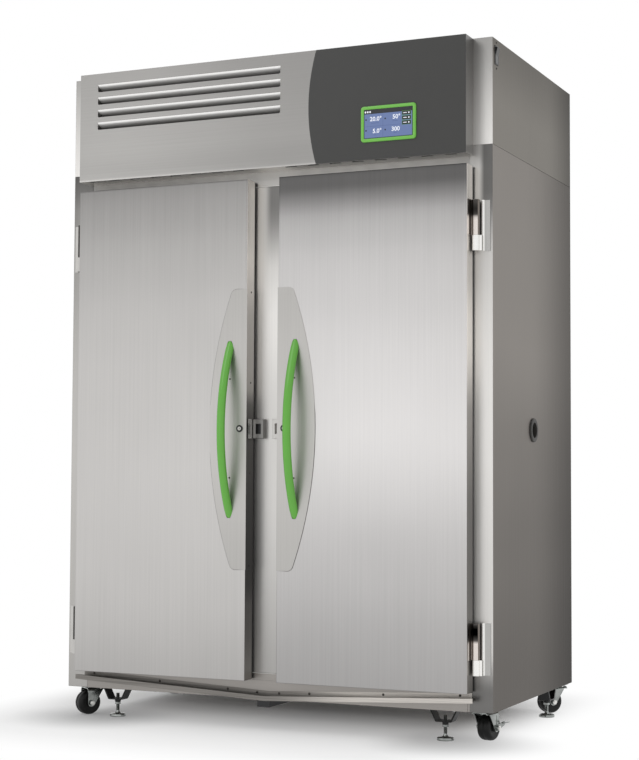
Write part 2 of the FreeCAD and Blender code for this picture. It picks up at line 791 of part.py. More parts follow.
def latch_keepers():
    """Two blocks on the mullion's face, each with a pocket, beside the doors' free edges."""
    outer = DOOR_FREE_X - KEEPER_FROM_EDGE
    x = (outer - KEEPER_W, outer)
    block = box(x, (FRONT - KEEPER_D, FRONT), centred(LOCK_Z, CASE_H))
    pocket_x = centred((x[0] + x[1]) / 2, KEEPER_POCKET_W)
    pocket_y = (FRONT - KEEPER_D, FRONT - KEEPER_D + KEEPER_POCKET_D)
    block = block.cut(box(pocket_x, pocket_y, centred(LOCK_Z, KEEPER_POCKET_H)))
    save("latch_keepers", Part.makeCompound([block, mirrored(block)]))


# Drip tray: a folded sheet whose halves slope down to the middle

def drip_tray():
    t = TRAY_T
    low = BOTTOM + TRAY_LOW
    front = FRONT - TRAY_REACH
    back = FRONT - KICK_T
    hem = front + t + TRAY_HEM
    lip = low + TRAY_LIP
    section = [
        (back, low + TRAY_FLANGE),
        (back, low),
        (front, low),
        (front, lip),
        (hem, lip),
        (hem, lip - t),
        (front + t, lip - t),
        (front + t, low + t),
        (back - t, low + t),
        (back - t, low + TRAY_FLANGE),
    ]

    def section_wire(half):
        points = []
        for y, z in section:
            x = half + TRAY_FLARE * (FRONT - y) / TRAY_REACH if half else 0.0
            points.append(Vector(x, y, z + TRAY_SLOPE * x))
        return Part.makePolygon(points + [points[0]])

    right = Part.makeLoft([section_wire(0.0), section_wire(SIDE - TRAY_END_INSET)], True, True)
    save("drip_tray", joined([right, mirrored(right)]))


def drain_channel():
    x = centred(CHANNEL_X, CHANNEL_W)
    y = (FRONT, FRONT + CHANNEL_LENGTH)
    z = (BOTTOM - CHANNEL_H, BOTTOM)
    t = CHANNEL_T
    room = box((x[0] + t, x[1] - t), (y[0] + t, y[1] - t), (z[0] + t, z[1]))
    save("drain_channel", box(x, y, z).cut(room))


# Casters. Each is drawn with its wheel trailing along -X, then turned about its pivot

def caster_places():
    """Pivot x and y, and the angle in degrees from -X at which the wheel trails."""
    front_x = SIDE - FRONT_CASTER_SIDE
    front_y = FRONT + FRONT_CASTER_IN
    rear_x = SIDE - REAR_CASTER_SIDE
    rear_y = BACK - REAR_CASTER_IN
    points = {
        "front_left": (-front_x, front_y),
        "front_right": (front_x, front_y),
        "rear_left": (-rear_x, rear_y),
        "rear_right": (rear_x, rear_y),
    }
    return {name: point + (angle,) for (name, point), angle in zip(points.items(), CASTER_ANGLES)}


def placed(shape, place):
    x, y, angle = place
    moved = shape.copy()
    moved.rotate(Vector(0, 0, 0), Z_AXIS, angle)
    moved.translate(Vector(x, y, 0))
    return moved


def fork_arch():
    """The fork's sheet seen from the front: two legs that bend over into the crown."""
    outer = FORK_INNER + FORK_T
    bend = FORK_SHOULDER
    cut = bend * (1 - math.sqrt(0.5))
    thin = bend - FORK_T
    thin_cut = thin * (1 - math.sqrt(0.5))
    under = FORK_TOP - FORK_T

    def leg(sign, y, z):
        return Vector(0, sign * y, z)

    edges = []
    for sign in (1, -1):
        edges.append(Part.makeLine(leg(sign, outer, 0), leg(sign, outer, FORK_TOP - bend)))
        edges.append(Part.Arc(
            leg(sign, outer, FORK_TOP - bend),
            leg(sign, outer - cut, FORK_TOP - cut),
            leg(sign, outer - bend, FORK_TOP),
        ).toShape())
        edges.append(Part.makeLine(leg(sign, FORK_INNER, 0), leg(sign, FORK_INNER, under - thin)))
        edges.append(Part.Arc(
            leg(sign, FORK_INNER, under - thin),
            leg(sign, FORK_INNER - thin_cut, under - thin_cut),
            leg(sign, FORK_INNER - thin, under),
        ).toShape())
        edges.append(Part.makeLine(leg(sign, outer, 0), leg(sign, FORK_INNER, 0)))
    edges.append(Part.makeLine(leg(1, outer - bend, FORK_TOP), leg(-1, outer - bend, FORK_TOP)))
    edges.append(Part.makeLine(leg(1, FORK_INNER - thin, under), leg(-1, FORK_INNER - thin, under)))
    return Part.Face(Part.Wire(Part.__sortEdges__(edges)))


def fork_side(half):
    """The fork seen from the side: an upright edge behind the axle and a slanted one before it."""
    lead = math.atan2(FORK_TOP - FORK_BROW - WHEEL_R, LEG_LEAD + TRAIL)
    touch = lead - math.acos(FORK_EYE / math.hypot(FORK_TOP - FORK_BROW - WHEEL_R, LEG_LEAD + TRAIL))
    outline = [
        (-TRAIL - FORK_EYE, WHEEL_R),
        (-TRAIL - FORK_EYE, FORK_TOP),
        (FORK_LEAD, FORK_TOP),
        (FORK_LEAD, FORK_TOP - FORK_BROW),
        (LEG_LEAD, FORK_TOP - FORK_BROW),
        (-TRAIL + FORK_EYE * math.cos(touch), WHEEL_R + FORK_EYE * math.sin(touch)),
    ]
    plate = polygon_face([Vector(x, -half, z) for x, z in outline]).extrude(Y_AXIS * 2 * half)
    eye = rod(FORK_EYE, Vector(-TRAIL, -half, WHEEL_R), Y_AXIS, 2 * half)
    return joined([plate, eye])


def leg_groove(side, outer):
    """The upright groove pressed into one leg, with a round lower end."""
    x = -TRAIL + GROOVE_SHIFT
    low = WHEEL_R + GROOVE_RISE
    high = FORK_TOP - FORK_SHOULDER
    y = sorted((side * outer, side * (outer - GROOVE_DEPTH)))
    end = rod(GROOVE_W / 2, Vector(x, y[0], low), Y_AXIS, y[1] - y[0])
    return joined([box(centred(x, GROOVE_W), y, (low, high)), end])


def caster_fork():
    """A pressed fork with rounded shoulders, and the axle bolt with its nuts."""
    outer = FORK_INNER + FORK_T
    length = FORK_LEAD + TRAIL + FORK_EYE
    arch = fork_arch().extrude(X_AXIS * length)
    arch.translate(X_AXIS * (FORK_LEAD - length))
    body = arch.common(fork_side(outer))
    for side in (-1, 1):
        body = body.cut(leg_groove(side, outer))
    half = outer + LEVER_T + SEAT_GAP
    axle = rod(AXLE_R, Vector(-TRAIL, -half, WHEEL_R), Y_AXIS, 2 * half)
    nuts = [
        rod(NUT_R, Vector(-TRAIL, half, WHEEL_R), Y_AXIS, NUT_T),
        rod(NUT_R, Vector(-TRAIL, -half - NUT_T, WHEEL_R), Y_AXIS, NUT_T),
    ]
    kingpin = rod(KINGPIN_R + RUNNING, Vector(0, 0, 0), Z_AXIS, BOTTOM)
    return joined([body.cut(kingpin), axle] + nuts)


def caster_wheel():
    """A wide rubber tread on a hub, turned about the axle."""
    half = WHEEL_W / 2
    corner = TREAD_CORNER
    flank = WHEEL_R - corner
    cut = corner * (1 - math.sqrt(0.5))
    tyre_edge = Part.Arc(
        Vector(0, half, flank), Vector(0, half - cut, WHEEL_R - cut), Vector(0, half - corner, WHEEL_R)
    ).toShape()
    other_edge = Part.Arc(
        Vector(0, corner - half, WHEEL_R), Vector(0, cut - half, WHEEL_R - cut), Vector(0, -half, flank)
    ).toShape()
    bore = AXLE_R + RUNNING
    hub = FORK_INNER - SEAT_GAP
    outline = [
        Vector(0, -half, flank),
        Vector(0, -half, HUB_R),
        Vector(0, -hub, HUB_R),
        Vector(0, -hub, bore),
        Vector(0, hub, bore),
        Vector(0, hub, HUB_R),
        Vector(0, half, HUB_R),
        Vector(0, half, flank),
    ]
    edges = [Part.makeLine(a, b) for a, b in zip(outline, outline[1:])]
    tread = Part.makeLine(Vector(0, half - corner, WHEEL_R), Vector(0, corner - half, WHEEL_R))
    face = Part.Face(Part.Wire(edges + [tyre_edge, tread, other_edge]))
    wheel = face.revolve(Vector(0, 0, 0), Y_AXIS, 360)
    wheel.translate(Vector(-TRAIL, 0, WHEEL_R))
    return wheel


def brake_lever():
    """A lever on the axle outside one fork leg, with a pedal that flares out from the wheel."""
    y = FORK_INNER + FORK_T + SEAT_GAP / 2
    start = Vector(-TRAIL, y, WHEEL_R)
    ring = rod(LEVER_ROOT_W / 2, start, Y_AXIS, LEVER_T)
    end_x = -TRAIL - LEVER_REACH
    end_z = WHEEL_R + LEVER_RISE
    points = [
        Vector(-TRAIL, y, WHEEL_R + LEVER_ROOT_W / 2),
        Vector(-TRAIL, y, WHEEL_R - LEVER_ROOT_W / 2),
        Vector(end_x, y, end_z - LEVER_W / 2),
        Vector(end_x, y, end_z + LEVER_W / 2),
    ]
    arm = polygon_face(points).extrude(Y_AXIS * LEVER_T)
    root = Vector(end_x, y, end_z)
    pedal = box((end_x, end_x + PEDAL_L), (y, y + PEDAL_OUT), (end_z - LEVER_T / 2, end_z + LEVER_T / 2))
    pedal.rotate(root, X_AXIS, PEDAL_TILT)
    bore = rod(AXLE_R + RUNNING, start - Y_AXIS * LEVER_T, Y_AXIS, 3 * LEVER_T)
    return joined([ring, arm, pedal]).cut(bore)


def casters():
    places = caster_places()
    plates = []
    plate = box(centred(0, TOP_PLATE), centred(0, TOP_PLATE), (BOTTOM - TOP_PLATE_T, BOTTOM))
    race_z = BOTTOM - TOP_PLATE_T - RACE_H
    race = rod(RACE_R, Vector(0, 0, race_z), Z_AXIS, RACE_H)
    head_z = FORK_TOP - FORK_T - SEAT_GAP - KINGPIN_HEAD_T
    head = rod(KINGPIN_HEAD_R, Vector(0, 0, head_z), Z_AXIS, KINGPIN_HEAD_T)
    kingpin = rod(KINGPIN_R, Vector(0, 0, head_z), Z_AXIS, race_z - head_z)
    plate = joined([plate, race, kingpin, head])
    fork = caster_fork()
    wheel = caster_wheel()
    for name, place in places.items():
        plates.append(placed(plate, (place[0], place[1], 0.0)))
        save("caster_fork_" + name, placed(fork, place))
        save("caster_wheel_" + name, placed(wheel, place))
    save("caster_plates", Part.makeCompound(plates))
    save("brake_lever", placed(brake_lever(), places["front_right"]))


# Levelling feet, each with its stud through a bent bracket

def foot_places():
    """Foot x and y, and the angle at which its bracket lies."""
    left_x = -SIDE + FRONT_FOOT_SIDES[0]
    right_x = SIDE - FRONT_FOOT_SIDES[1]
    front_y = FRONT + FRONT_FOOT_IN
    rear_x = SIDE - REAR_FOOT_SIDE
    rear_y = BACK - REAR_FOOT_IN
    return {
        "front_left": (left_x, front_y, 0.0),
        "front_right": (right_x, front_y, 0.0),
        "rear_left": (-rear_x, rear_y, 90.0),
        "rear_right": (rear_x, rear_y, 90.0),
    }


def levelling_foot():
    """A round pad with a rolled edge, a cone up to its stud, and a lock nut on the stud."""
    low = BOTTOM - BRACKET_DROP
    top = low + BRACKET_T + STUD_ABOVE
    rim = FOOT_H - FOOT_CROWN - FOOT_EDGE
    cut = FOOT_EDGE * (1 - math.sqrt(0.5))
    shoulder = Vector(FOOT_R - FOOT_EDGE, 0, rim + FOOT_EDGE)
    outline = [
        shoulder,
        Vector(FOOT_HUB_R, 0, FOOT_H),
        Vector(STUD_R, 0, FOOT_H + FOOT_HUB_H),
        Vector(STUD_R, 0, top - STUD_TIP),
        Vector(STUD_R - STUD_TIP, 0, top),
        Vector(0, 0, top),
        Vector(0, 0, 0),
        Vector(FOOT_R, 0, 0),
        Vector(FOOT_R, 0, rim),
    ]
    edges = [Part.makeLine(a, b) for a, b in zip(outline, outline[1:])]
    edges.append(Part.Arc(outline[-1], Vector(FOOT_R - cut, 0, rim + FOOT_EDGE - cut), shoulder).toShape())
    pad = Part.Face(Part.Wire(edges)).revolve(Vector(0, 0, 0), Z_AXIS, 360)
    nut_top = low - WELD_NUT_H - LOCK_NUT_GAP
    return joined([pad, hexagon(LOCK_NUT_AF, nut_top - LOCK_NUT_H, LOCK_NUT_H)])


def hexagon(across_flats, low, height):
    radius = across_flats / math.sqrt(3)
    corners = [math.radians(60 * index) for index in range(6)]
    points = [Vector(radius * math.cos(a), radius * math.sin(a), low) for a in corners]
    return polygon_face(points).extrude(Z_AXIS * height)


def foot_bracket():
    """A strap bent to a hat shape, with a weld nut under its flat."""
    t = BRACKET_T
    flat = BRACKET_FLAT / 2
    spread = BRACKET_SPREAD / 2
    tab = spread + BRACKET_TAB
    low = BOTTOM - BRACKET_DROP
    side = [
        (tab, BOTTOM - t),
        (tab, BOTTOM),
        (spread - t, BOTTOM),
        (flat - t, low + t),
    ]
    outer = [
        (flat, low),
        (spread, BOTTOM - t),
    ]
    right = outer + side
    left = [(-x, z) for x, z in reversed(right)]
    points = [Vector(x, -BRACKET_W / 2, z) for x, z in left + right]
    strap = polygon_face(points).extrude(Y_AXIS * BRACKET_W)
    strap = strap.makeFillet(BRACKET_BEND, [e for e in strap.Edges if is_outer_bend(e, low)])
    nut = rod(WELD_NUT_R, Vector(0, 0, low - WELD_NUT_H), Z_AXIS, WELD_NUT_H)
    bore = rod(STUD_R + STUD_CLEAR, Vector(0, 0, low - WELD_NUT_H), Z_AXIS, BRACKET_DROP)
    return joined([strap, nut]).cut(bore)


def is_outer_bend(edge, low):
    """True for the two edges across the strap where its flat turns up into its sides."""
    near = 0.01
    ends = [v.Point for v in edge.Vertexes]
    across = abs(ends[0].y - ends[1].y) > BRACKET_W - near
    return across and all(abs(p.z - low) < near for p in ends)


def levelling_feet():
    brackets = []
    for name, place in foot_places().items():
        save("levelling_foot_" + name, placed(levelling_foot(), place))
        brackets.append(placed(foot_bracket(), place))
    save("foot_brackets", Part.makeCompound(brackets))


# Access port through the right wall, and the wiring device above it

def access_port():
    outside = PORT_POINT + X_AXIS * PORT_RING_T
    inside = PORT_POINT - X_AXIS * (WALL + SKIN + PORT_LIP_T)
    length = outside.x - inside.x
    tube = rod(PORT_R + PORT_WALL, inside, X_AXIS, length)
    ring = rod(PORT_RING_R, PORT_POINT, X_AXIS, PORT_RING_T)
    lip = rod(PORT_LIP_R, inside, X_AXIS, PORT_LIP_T)
    bore = rod(PORT_R, inside, X_AXIS, length)
    save("access_port", joined([tube, ring, lip]).cut(bore))


def device_opening(width, height):
    x = (SIDE - DEVICE_D, SIDE + DEVICE_LIP)
    y = centred(DEVICE_POINT.y, width)
    return box(x, y, centred(DEVICE_POINT.z, height))


def wiring_device():
    """A device body on its strap behind the sheet, with a hollow that holds the rocker."""
    inner_face = SIDE - COVER_T
    y = DEVICE_POINT.y
    z = DEVICE_POINT.z
    strap_x = (inner_face - DEVICE_STRAP_T, inner_face)
    strap = box(strap_x, centred(y, DEVICE_STRAP_W), centred(z, DEVICE_STRAP_H))
    body_w = DEVICE_W - 2 * SEAT_GAP
    body_h = DEVICE_H - 2 * SEAT_GAP
    body = box((SIDE - DEVICE_D, SIDE + DEVICE_LIP), centred(y, body_w), centred(z, body_h))
    room_w = body_w - 2 * DEVICE_WALL
    room_h = body_h - 2 * DEVICE_WALL
    room = box((SIDE - DEVICE_D + DEVICE_WALL, SIDE + DEVICE_LIP), centred(y, room_w), centred(z, room_h))
    save("switch_body", joined([strap, body]).cut(room))
    save("power_rocker", rocker(room_w - 2 * ROCKER_GAP, room_h - 2 * ROCKER_GAP))


def rocker(width, height):
    """A hollow-faced paddle on a stem, at rest with its lower half pressed in."""
    y = DEVICE_POINT.y
    z = DEVICE_POINT.z
    half_throw = math.radians(ROCKER_THROW / 2)
    face = SIDE + DEVICE_LIP
    pivot = Vector(face - ROCKER_PIVOT, y, z)
    reach = height / 2 - ROCKER_PIVOT * math.sin(half_throw)
    rise = reach * math.tan(half_throw)
    points = [
        Vector(face + rise, y - width / 2, z + reach),
        Vector(face, y - width / 2, z),
        Vector(face + rise, y - width / 2, z - reach),
        Vector(face + rise - ROCKER_T, y - width / 2, z - reach),
        Vector(face - ROCKER_T, y - width / 2, z),
        Vector(face + rise - ROCKER_T, y - width / 2, z + reach),
    ]
    paddle = polygon_face(points).extrude(Y_AXIS * width)
    stem_x = (SIDE - DEVICE_D + DEVICE_WALL + ROCKER_GAP, face - ROCKER_T / 2)
    stem = box(stem_x, centred(y, width / 2), centred(z, ROCKER_T))
    whole = joined([paddle, stem])
    whole.rotate(pivot, Y_AXIS, ROCKER_THROW / 2)
    return whole


# Shelf tiers: standards, wire shelves and lamp canopies under what is above them

def shelf_levels():
    return [FLOOR_Z + SKIN + FIRST_SHELF + tier * TIER_PITCH for tier in range(SHELF_TIERS)]


def shelf_span():
    """Shelf x from the middle standard to the wall standard, each with its seat gap."""
    return (STANDARD_D / 2 + SEAT_GAP, INNER_X - SKIN - STANDARD_D - SEAT_GAP)


def shelf_standards():
    z = (FLOOR_Z + SKIN, CEILING_Z - SKIN)
    wall_x = (INNER_X - SKIN - STANDARD_D, INNER_X - SKIN)
    pieces = []
    for middle_y in (FRONT + STANDARD_FRONT, PLENUM_FRONT - STANDARD_TO_PLENUM):
        y = centred(middle_y, STANDARD_W)
        wall = standard_channel(wall_x, y, z)
        pieces += [wall, mirrored(wall), standard_channel(centred(0, STANDARD_D), y, z)]
    save("shelf_standards", Part.makeCompound(pieces))


def standard_channel(x, y, z):
    """A folded channel whose closed face has the shelf slots."""
    t = STANDARD_T
    room = box((x[0] + t, x[1]), (y[0] + t, y[1] - t), z)
    return box(x, y, z).cut(room).cut(standard_slots(x, (y[0] + y[1]) / 2, z))


def standard_slots(x, y, z):
    count = int((z[1] - z[0]) / STANDARD_PITCH)
    slots = []
    for index in range(1, count):
        level = z[0] + index * STANDARD_PITCH
        slots.append(box(x, centred(y, STANDARD_SLOT), centred(level, 2 * STANDARD_SLOT)))
    return Part.makeCompound(slots)


def wire_shelf(top):
    """A welded frame with bars from front to back."""
    x = shelf_span()
    y = SHELF_Y
    low = top - SHELF_RAIL
    bar = SHELF_BAR
    pieces = [
        box(x, (y[0], y[0] + bar), (low, top)),
        box(x, (y[1] - bar, y[1]), (low, top)),
        box((x[0], x[0] + bar), y, (low, top)),
        box((x[1] - bar, x[1]), y, (low, top)),
        box(x, centred((y[0] + y[1]) / 2, bar), (low, top - bar)),
    ]
    count = int((x[1] - x[0]) / SHELF_PITCH)
    step = (x[1] - x[0]) / count
    for index in range(1, count):
        pieces.append(box(centred(x[0] + index * step, bar), y, (top - bar, top)))
    return joined(pieces)


def shelves():
    pieces = []
    for top in shelf_levels():
        shelf = wire_shelf(top)
        pieces += [shelf, mirrored(shelf)]
    save("shelves", Part.makeCompound(pieces))


def lamp_canopy(top):
    """A drafted lamp housing with its light panel just below it."""
    x = shelf_span()
    x = (x[0] + CANOPY_INSET, x[1] - CANOPY_INSET)
    y = (SHELF_Y[0] + CANOPY_INSET, SHELF_Y[1] - CANOPY_INSET)
    draft = CANOPY_DRAFT
    low = top - CANOPY_H
    t = CANOPY_T

    def outline(inset, level):
        a, b = x[0] + inset, x[1] - inset
        c, d = y[0] + inset, y[1] - inset
        corners = [(a, c), (b, c), (b, d), (a, d), (a, c)]
        return Part.makePolygon([Vector(px, py, level) for px, py in corners])

    housing = Part.makeLoft([outline(draft, top), outline(0, low)], True, True)
    hollow = Part.makeLoft([outline(draft + t, top - t), outline(t, low + t)], True, True)
    housing = housing.cut(hollow)
    lens_x = (x[0] + LENS_INSET, x[1] - LENS_INSET)
    lens_y = (y[0] + LENS_INSET, y[1] - LENS_INSET)
    lens = box(lens_x, lens_y, (low - LENS_DROP, low))
    return joined([housing, lens])


def lamp_canopies():
    undersides = [level - SHELF_RAIL for level in shelf_levels()[1:]]
    undersides.append(CEILING_Z - SKIN)
    pieces = []
    for underside in undersides:
        canopy = lamp_canopy(underside)
        pieces += [canopy, mirrored(canopy)]
    save("lamp_canopies", Part.makeCompound(pieces))


# Air plenum: a false back wall that carries the fan motor in front of the coil

def fan_rotor(blade_count):
    """Hub and pitched blades round the Y axis, trimmed to the fan's radius."""
    hub = rod(FAN_HUB_R, Vector(0, -FAN_DEPTH / 2, 0), Y_AXIS, FAN_DEPTH)
    rim = rod(FAN_R, Vector(0, -FAN_DEPTH / 2, 0), Y_AXIS, FAN_DEPTH)
    blade = box((0, FAN_R + BLADE_T), centred(0, BLADE_T), centred(0, BLADE_ROOM))
    blade.rotate(Vector(0, 0, 0), X_AXIS, BLADE_PITCH)
    pieces = [hub]
    for index in range(blade_count):
        turned = blade.copy()
        turned.rotate(Vector(0, 0, 0), Y_AXIS, 360.0 * index / blade_count)
        pieces.append(turned.common(rim))
    rotor = joined(pieces)
    return rotor.cut(rod(SHAFT_R + RUNNING, Vector(0, -FAN_DEPTH, 0), Y_AXIS, 2 * FAN_DEPTH))


def motor_on_arms(centre, arm_reach):
    """A motor behind the fan on a flat cross arm, with its shaft through the hub."""
    face = FAN_DEPTH / 2 + SEAT_GAP
    motor = rod(MOTOR_R, centre + Y_AXIS * face, Y_AXIS, MOTOR_R)
    shaft = rod(SHAFT_R, centre - Y_AXIS * (FAN_DEPTH / 2), Y_AXIS, FAN_DEPTH + MOTOR_R)
    arm_y = (centre.y + face + MOTOR_R / 2, centre.y + face + MOTOR_R / 2 + ARM_T)
    arm = box(centred(centre.x, 2 * arm_reach), arm_y, centred(centre.z, ARM_W))
    return [motor, shaft, arm], arm_y


def air_plenum():
    t = PLENUM_T
    x = (-INNER_X + SKIN + PLENUM_GAP, INNER_X - SKIN - PLENUM_GAP)
    y = (PLENUM_FRONT, INNER_BACK - SKIN)
    z = (FLOOR_Z + SKIN, CEILING_Z - SKIN)
    wall = box(x, (y[0], y[0] + t), z)
    left = box((x[0], x[0] + t), y, z)
    right = box((x[1] - t, x[1]), y, z)
    centre = Vector(0, y[0] + t + FAN_DEPTH / 2 + SEAT_GAP, FAN_Z)
    inlet = rod(INLET_R, Vector(0, y[0], FAN_Z), Y_AXIS, t)
    slots = []
    for index in range(OUTLET_COUNT):
        low = z[0] + OUTLET_MARGIN / 2 + index * OUTLET_PITCH
        slot_x = (x[0] + OUTLET_MARGIN, x[1] - OUTLET_MARGIN)
        slots.append(box(slot_x, (y[0], y[0] + t), (low, low + OUTLET_H)))
    wall = wall.cut(inlet).cut(Part.makeCompound(slots))
    reach = INLET_R + ARM_W
    pieces, arm_y = motor_on_arms(centre, reach)
    for side in (-1, 1):
        leg_x = sorted((side * reach, side * (reach - ARM_T)))
        pieces.append(box(leg_x, (y[0] + t, arm_y[1]), centred(FAN_Z, ARM_W)))
    save("air_plenum", joined([wall, left, right] + pieces))
    rotor = fan_rotor(FAN_BLADES)
    rotor.translate(centre)
    save("circulation_fan", rotor)


def finned_coil(x, y, z):
    """End plates and a core block with fins standing proud of it on both faces."""
    plates = [box((x[0], x[0] + FIN_T), y, z), box((x[1] - FIN_T, x[1]), y, z)]
    core = box(x, (y[0] + COIL_EDGE, y[1] - COIL_EDGE), (z[0] + COIL_EDGE, z[1] - COIL_EDGE))
    count = int((x[1] - x[0]) / FIN_PITCH)
    step = (x[1] - x[0]) / count
    fins = [box(centred(x[0] + step * i, FIN_T), y, z) for i in range(1, count)]
    return joined(plates + [core] + fins)


def evaporator_coil():
    back = INNER_BACK - SKIN
    x = centred(0, COIL_W)
    save("evaporator_coil", finned_coil(x, (back - COIL_D, back), (COIL_Z, COIL_Z + COIL_H)))


# Machine compartment: compressor, and the condenser with its shroud and fan

def compressor():
    x = COMPRESSOR_X
    y = FRONT + COMPRESSOR_IN
    t = COMPRESSOR_FOOT_T
    foot = box(centred(x, COMPRESSOR_FOOT), centred(y, COMPRESSOR_FOOT_D), (SEAM, SEAM + t))
    r = COMPRESSOR_R
    upper = r - SHELL_STEP
    floor = SEAM + t
    outline = [
        (0, floor),
        (SHELL_BASE_R, floor),
        (r, SEAM + SHELL_BASE_H + t),
        (r, SEAM + SHELL_SEAM_H),
        (upper, SEAM + SHELL_SEAM_H + SHELL_STEP_H),
        (upper, SEAM + SHELL_DOME_H),
        (upper - SHELL_STEP_H * 2, SEAM + COMPRESSOR_H - SHELL_STEP),
        (0, SEAM + COMPRESSOR_H),
    ]
    shell = polygon_face([Vector(x + px, y, pz) for px, pz in outline])
    shell = shell.revolve(Vector(x, y, 0), Z_AXIS, 360)
    terminal_z = centred(SEAM + COMPRESSOR_H / 2, TERMINAL_H)
    terminal = box(centred(x, TERMINAL_W), (y - r - t, y), terminal_z)
    save("compressor", joined([foot, shell, terminal]))


def condenser():
    x = centred(CONDENSER_X, CONDENSER_W)
    y = (FRONT + CONDENSER_IN, FRONT + CONDENSER_IN + CONDENSER_D)
    z = (SEAM, SEAM + CONDENSER_H)
    coil = finned_coil(x, y, z)
    t = FASCIA_T
    back = y[1] + SHROUD_D
    shroud = box(x, (y[1], back), z)
    room = box((x[0] + t, x[1] - t), (y[1], back - t), (z[0] + t, z[1] - t))
    centre = Vector(CONDENSER_X, back, SEAM + CONDENSER_FAN_Z)
    mouth = rod(INLET_R, centre - Y_AXIS * SHROUD_D / 2, Y_AXIS, SHROUD_D)
    shroud = shroud.cut(room).cut(mouth)
    reach = INLET_R + ARM_W / 2
    hub_centre = centre + Y_AXIS * (SEAT_GAP + FAN_DEPTH / 2 - t)
    pieces, arm_y = motor_on_arms(hub_centre, reach)
    for side in (-1, 1):
        leg_x = sorted((CONDENSER_X + side * reach, CONDENSER_X + side * (reach - ARM_T)))
        pieces.append(box(leg_x, (back - t, arm_y[1]), centred(centre.z, ARM_W)))
    save("condenser_coil", joined([coil, shroud] + pieces))
    rotor = fan_rotor(FAN_BLADES)
    rotor.translate(hub_centre)
    save("condenser_fan", rotor)


def main():
    os.makedirs("parts", exist_ok=True)
    cabinet_shell()
    mullion()
    module_cover()
    header_fascia()
    control_panel()
    display()
    doors()
    latch_keepers()
    drip_tray()
    drain_channel()
    casters()
    levelling_feet()
    access_port()
    wiring_device()
    shelf_standards()
    shelves()
    lamp_canopies()
    air_plenum()
    evaporator_coil()
    compressor()
    condenser()


main()
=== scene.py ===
# Two-door plant growth chamber, dressed piece by piece in the order in which it is put together.
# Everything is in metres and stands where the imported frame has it: doors to -Y, floor at z = 0.
import bmesh
import bpy
import json
import math
from mathutils import Matrix, Vector

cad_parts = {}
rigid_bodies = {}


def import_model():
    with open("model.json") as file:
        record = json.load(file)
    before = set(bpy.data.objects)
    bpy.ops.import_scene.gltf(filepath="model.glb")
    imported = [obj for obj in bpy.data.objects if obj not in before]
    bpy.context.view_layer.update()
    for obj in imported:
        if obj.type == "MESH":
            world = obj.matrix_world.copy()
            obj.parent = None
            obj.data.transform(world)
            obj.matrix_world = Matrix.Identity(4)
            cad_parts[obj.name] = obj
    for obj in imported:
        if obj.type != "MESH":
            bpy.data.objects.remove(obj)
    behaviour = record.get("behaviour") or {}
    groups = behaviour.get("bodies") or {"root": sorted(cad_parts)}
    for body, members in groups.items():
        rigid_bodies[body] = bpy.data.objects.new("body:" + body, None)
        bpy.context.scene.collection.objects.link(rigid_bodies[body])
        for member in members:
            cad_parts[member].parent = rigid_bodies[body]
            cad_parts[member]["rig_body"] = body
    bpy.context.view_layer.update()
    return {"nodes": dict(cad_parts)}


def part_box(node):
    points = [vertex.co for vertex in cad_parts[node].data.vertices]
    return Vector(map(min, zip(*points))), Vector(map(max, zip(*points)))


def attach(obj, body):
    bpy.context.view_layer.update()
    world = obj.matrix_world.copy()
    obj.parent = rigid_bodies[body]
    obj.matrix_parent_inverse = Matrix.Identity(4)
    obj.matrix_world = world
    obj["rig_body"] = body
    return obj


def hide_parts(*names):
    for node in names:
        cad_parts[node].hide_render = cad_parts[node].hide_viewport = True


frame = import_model()
nodes = frame["nodes"]
MM = 0.001


# Camera. A long lens stands low in front of the chamber and to its right, turned towards the
# doors, so that the uprights stay nearly parallel and the right side is seen at a slant.
def linked(name, data):
    """A new object in the scene."""
    made = bpy.data.objects.new(name, data)
    bpy.context.scene.collection.objects.link(made)
    return made


camera_data = bpy.data.cameras.new("camera")
camera_data.sensor_fit = "HORIZONTAL"
camera_data.sensor_width = 36.0
camera_data.lens = 94.855
camera_data.clip_end = 60.0
camera = linked("camera", camera_data)
CAMERA_PLACE = Vector((2.4315, -5.35225, 0.830))
CAMERA_TURN = math.radians(24.3515)
CAMERA_LIFT = math.radians(3.2337)
CAMERA_ROLL = math.radians(0.2847)
camera.matrix_world = (
    Matrix.Translation(CAMERA_PLACE)
    @ Matrix.Rotation(CAMERA_TURN, 4, "Z")
    @ Matrix.Rotation(math.pi / 2 + CAMERA_LIFT, 4, "X")
    @ Matrix.Rotation(CAMERA_ROLL, 4, "Z")
)
bpy.context.scene.camera = camera
bpy.context.scene.view_settings.view_transform = "Standard"


# Studio. A white painted floor with a painted soft shadow round the chamber and its front feet, which
# turns to pure white away from it, a white dome, and softboxes in front on the left, whose reflection
# adds to the glow painted into the doors at half height.
def linear(hex_colour):
    """An sRGB hex colour as linear red, green, blue and alpha."""
    parts = [int(hex_colour[i:i + 2], 16) / 255 for i in (1, 3, 5)]
    return [c / 12.92 if c <= 0.04045 else ((c + 0.055) / 1.055) ** 2.4 for c in parts] + [1.0]


def add(tree, kind, inputs=None, **settings):
    """One node with its settings, its socket values and the links into it.

    A node given as a value is linked by its first output.
    """
    made = tree.nodes.new(kind)
    for name, value in settings.items():
        setattr(made, name, value)
    for socket, value in (inputs or {}).items():
        if isinstance(value, bpy.types.Node):
            value = value.outputs[0]
        if isinstance(value, bpy.types.NodeSocket):
            tree.links.new(value, made.inputs[socket])
        else:
            made.inputs[socket].default_value = value
    return made


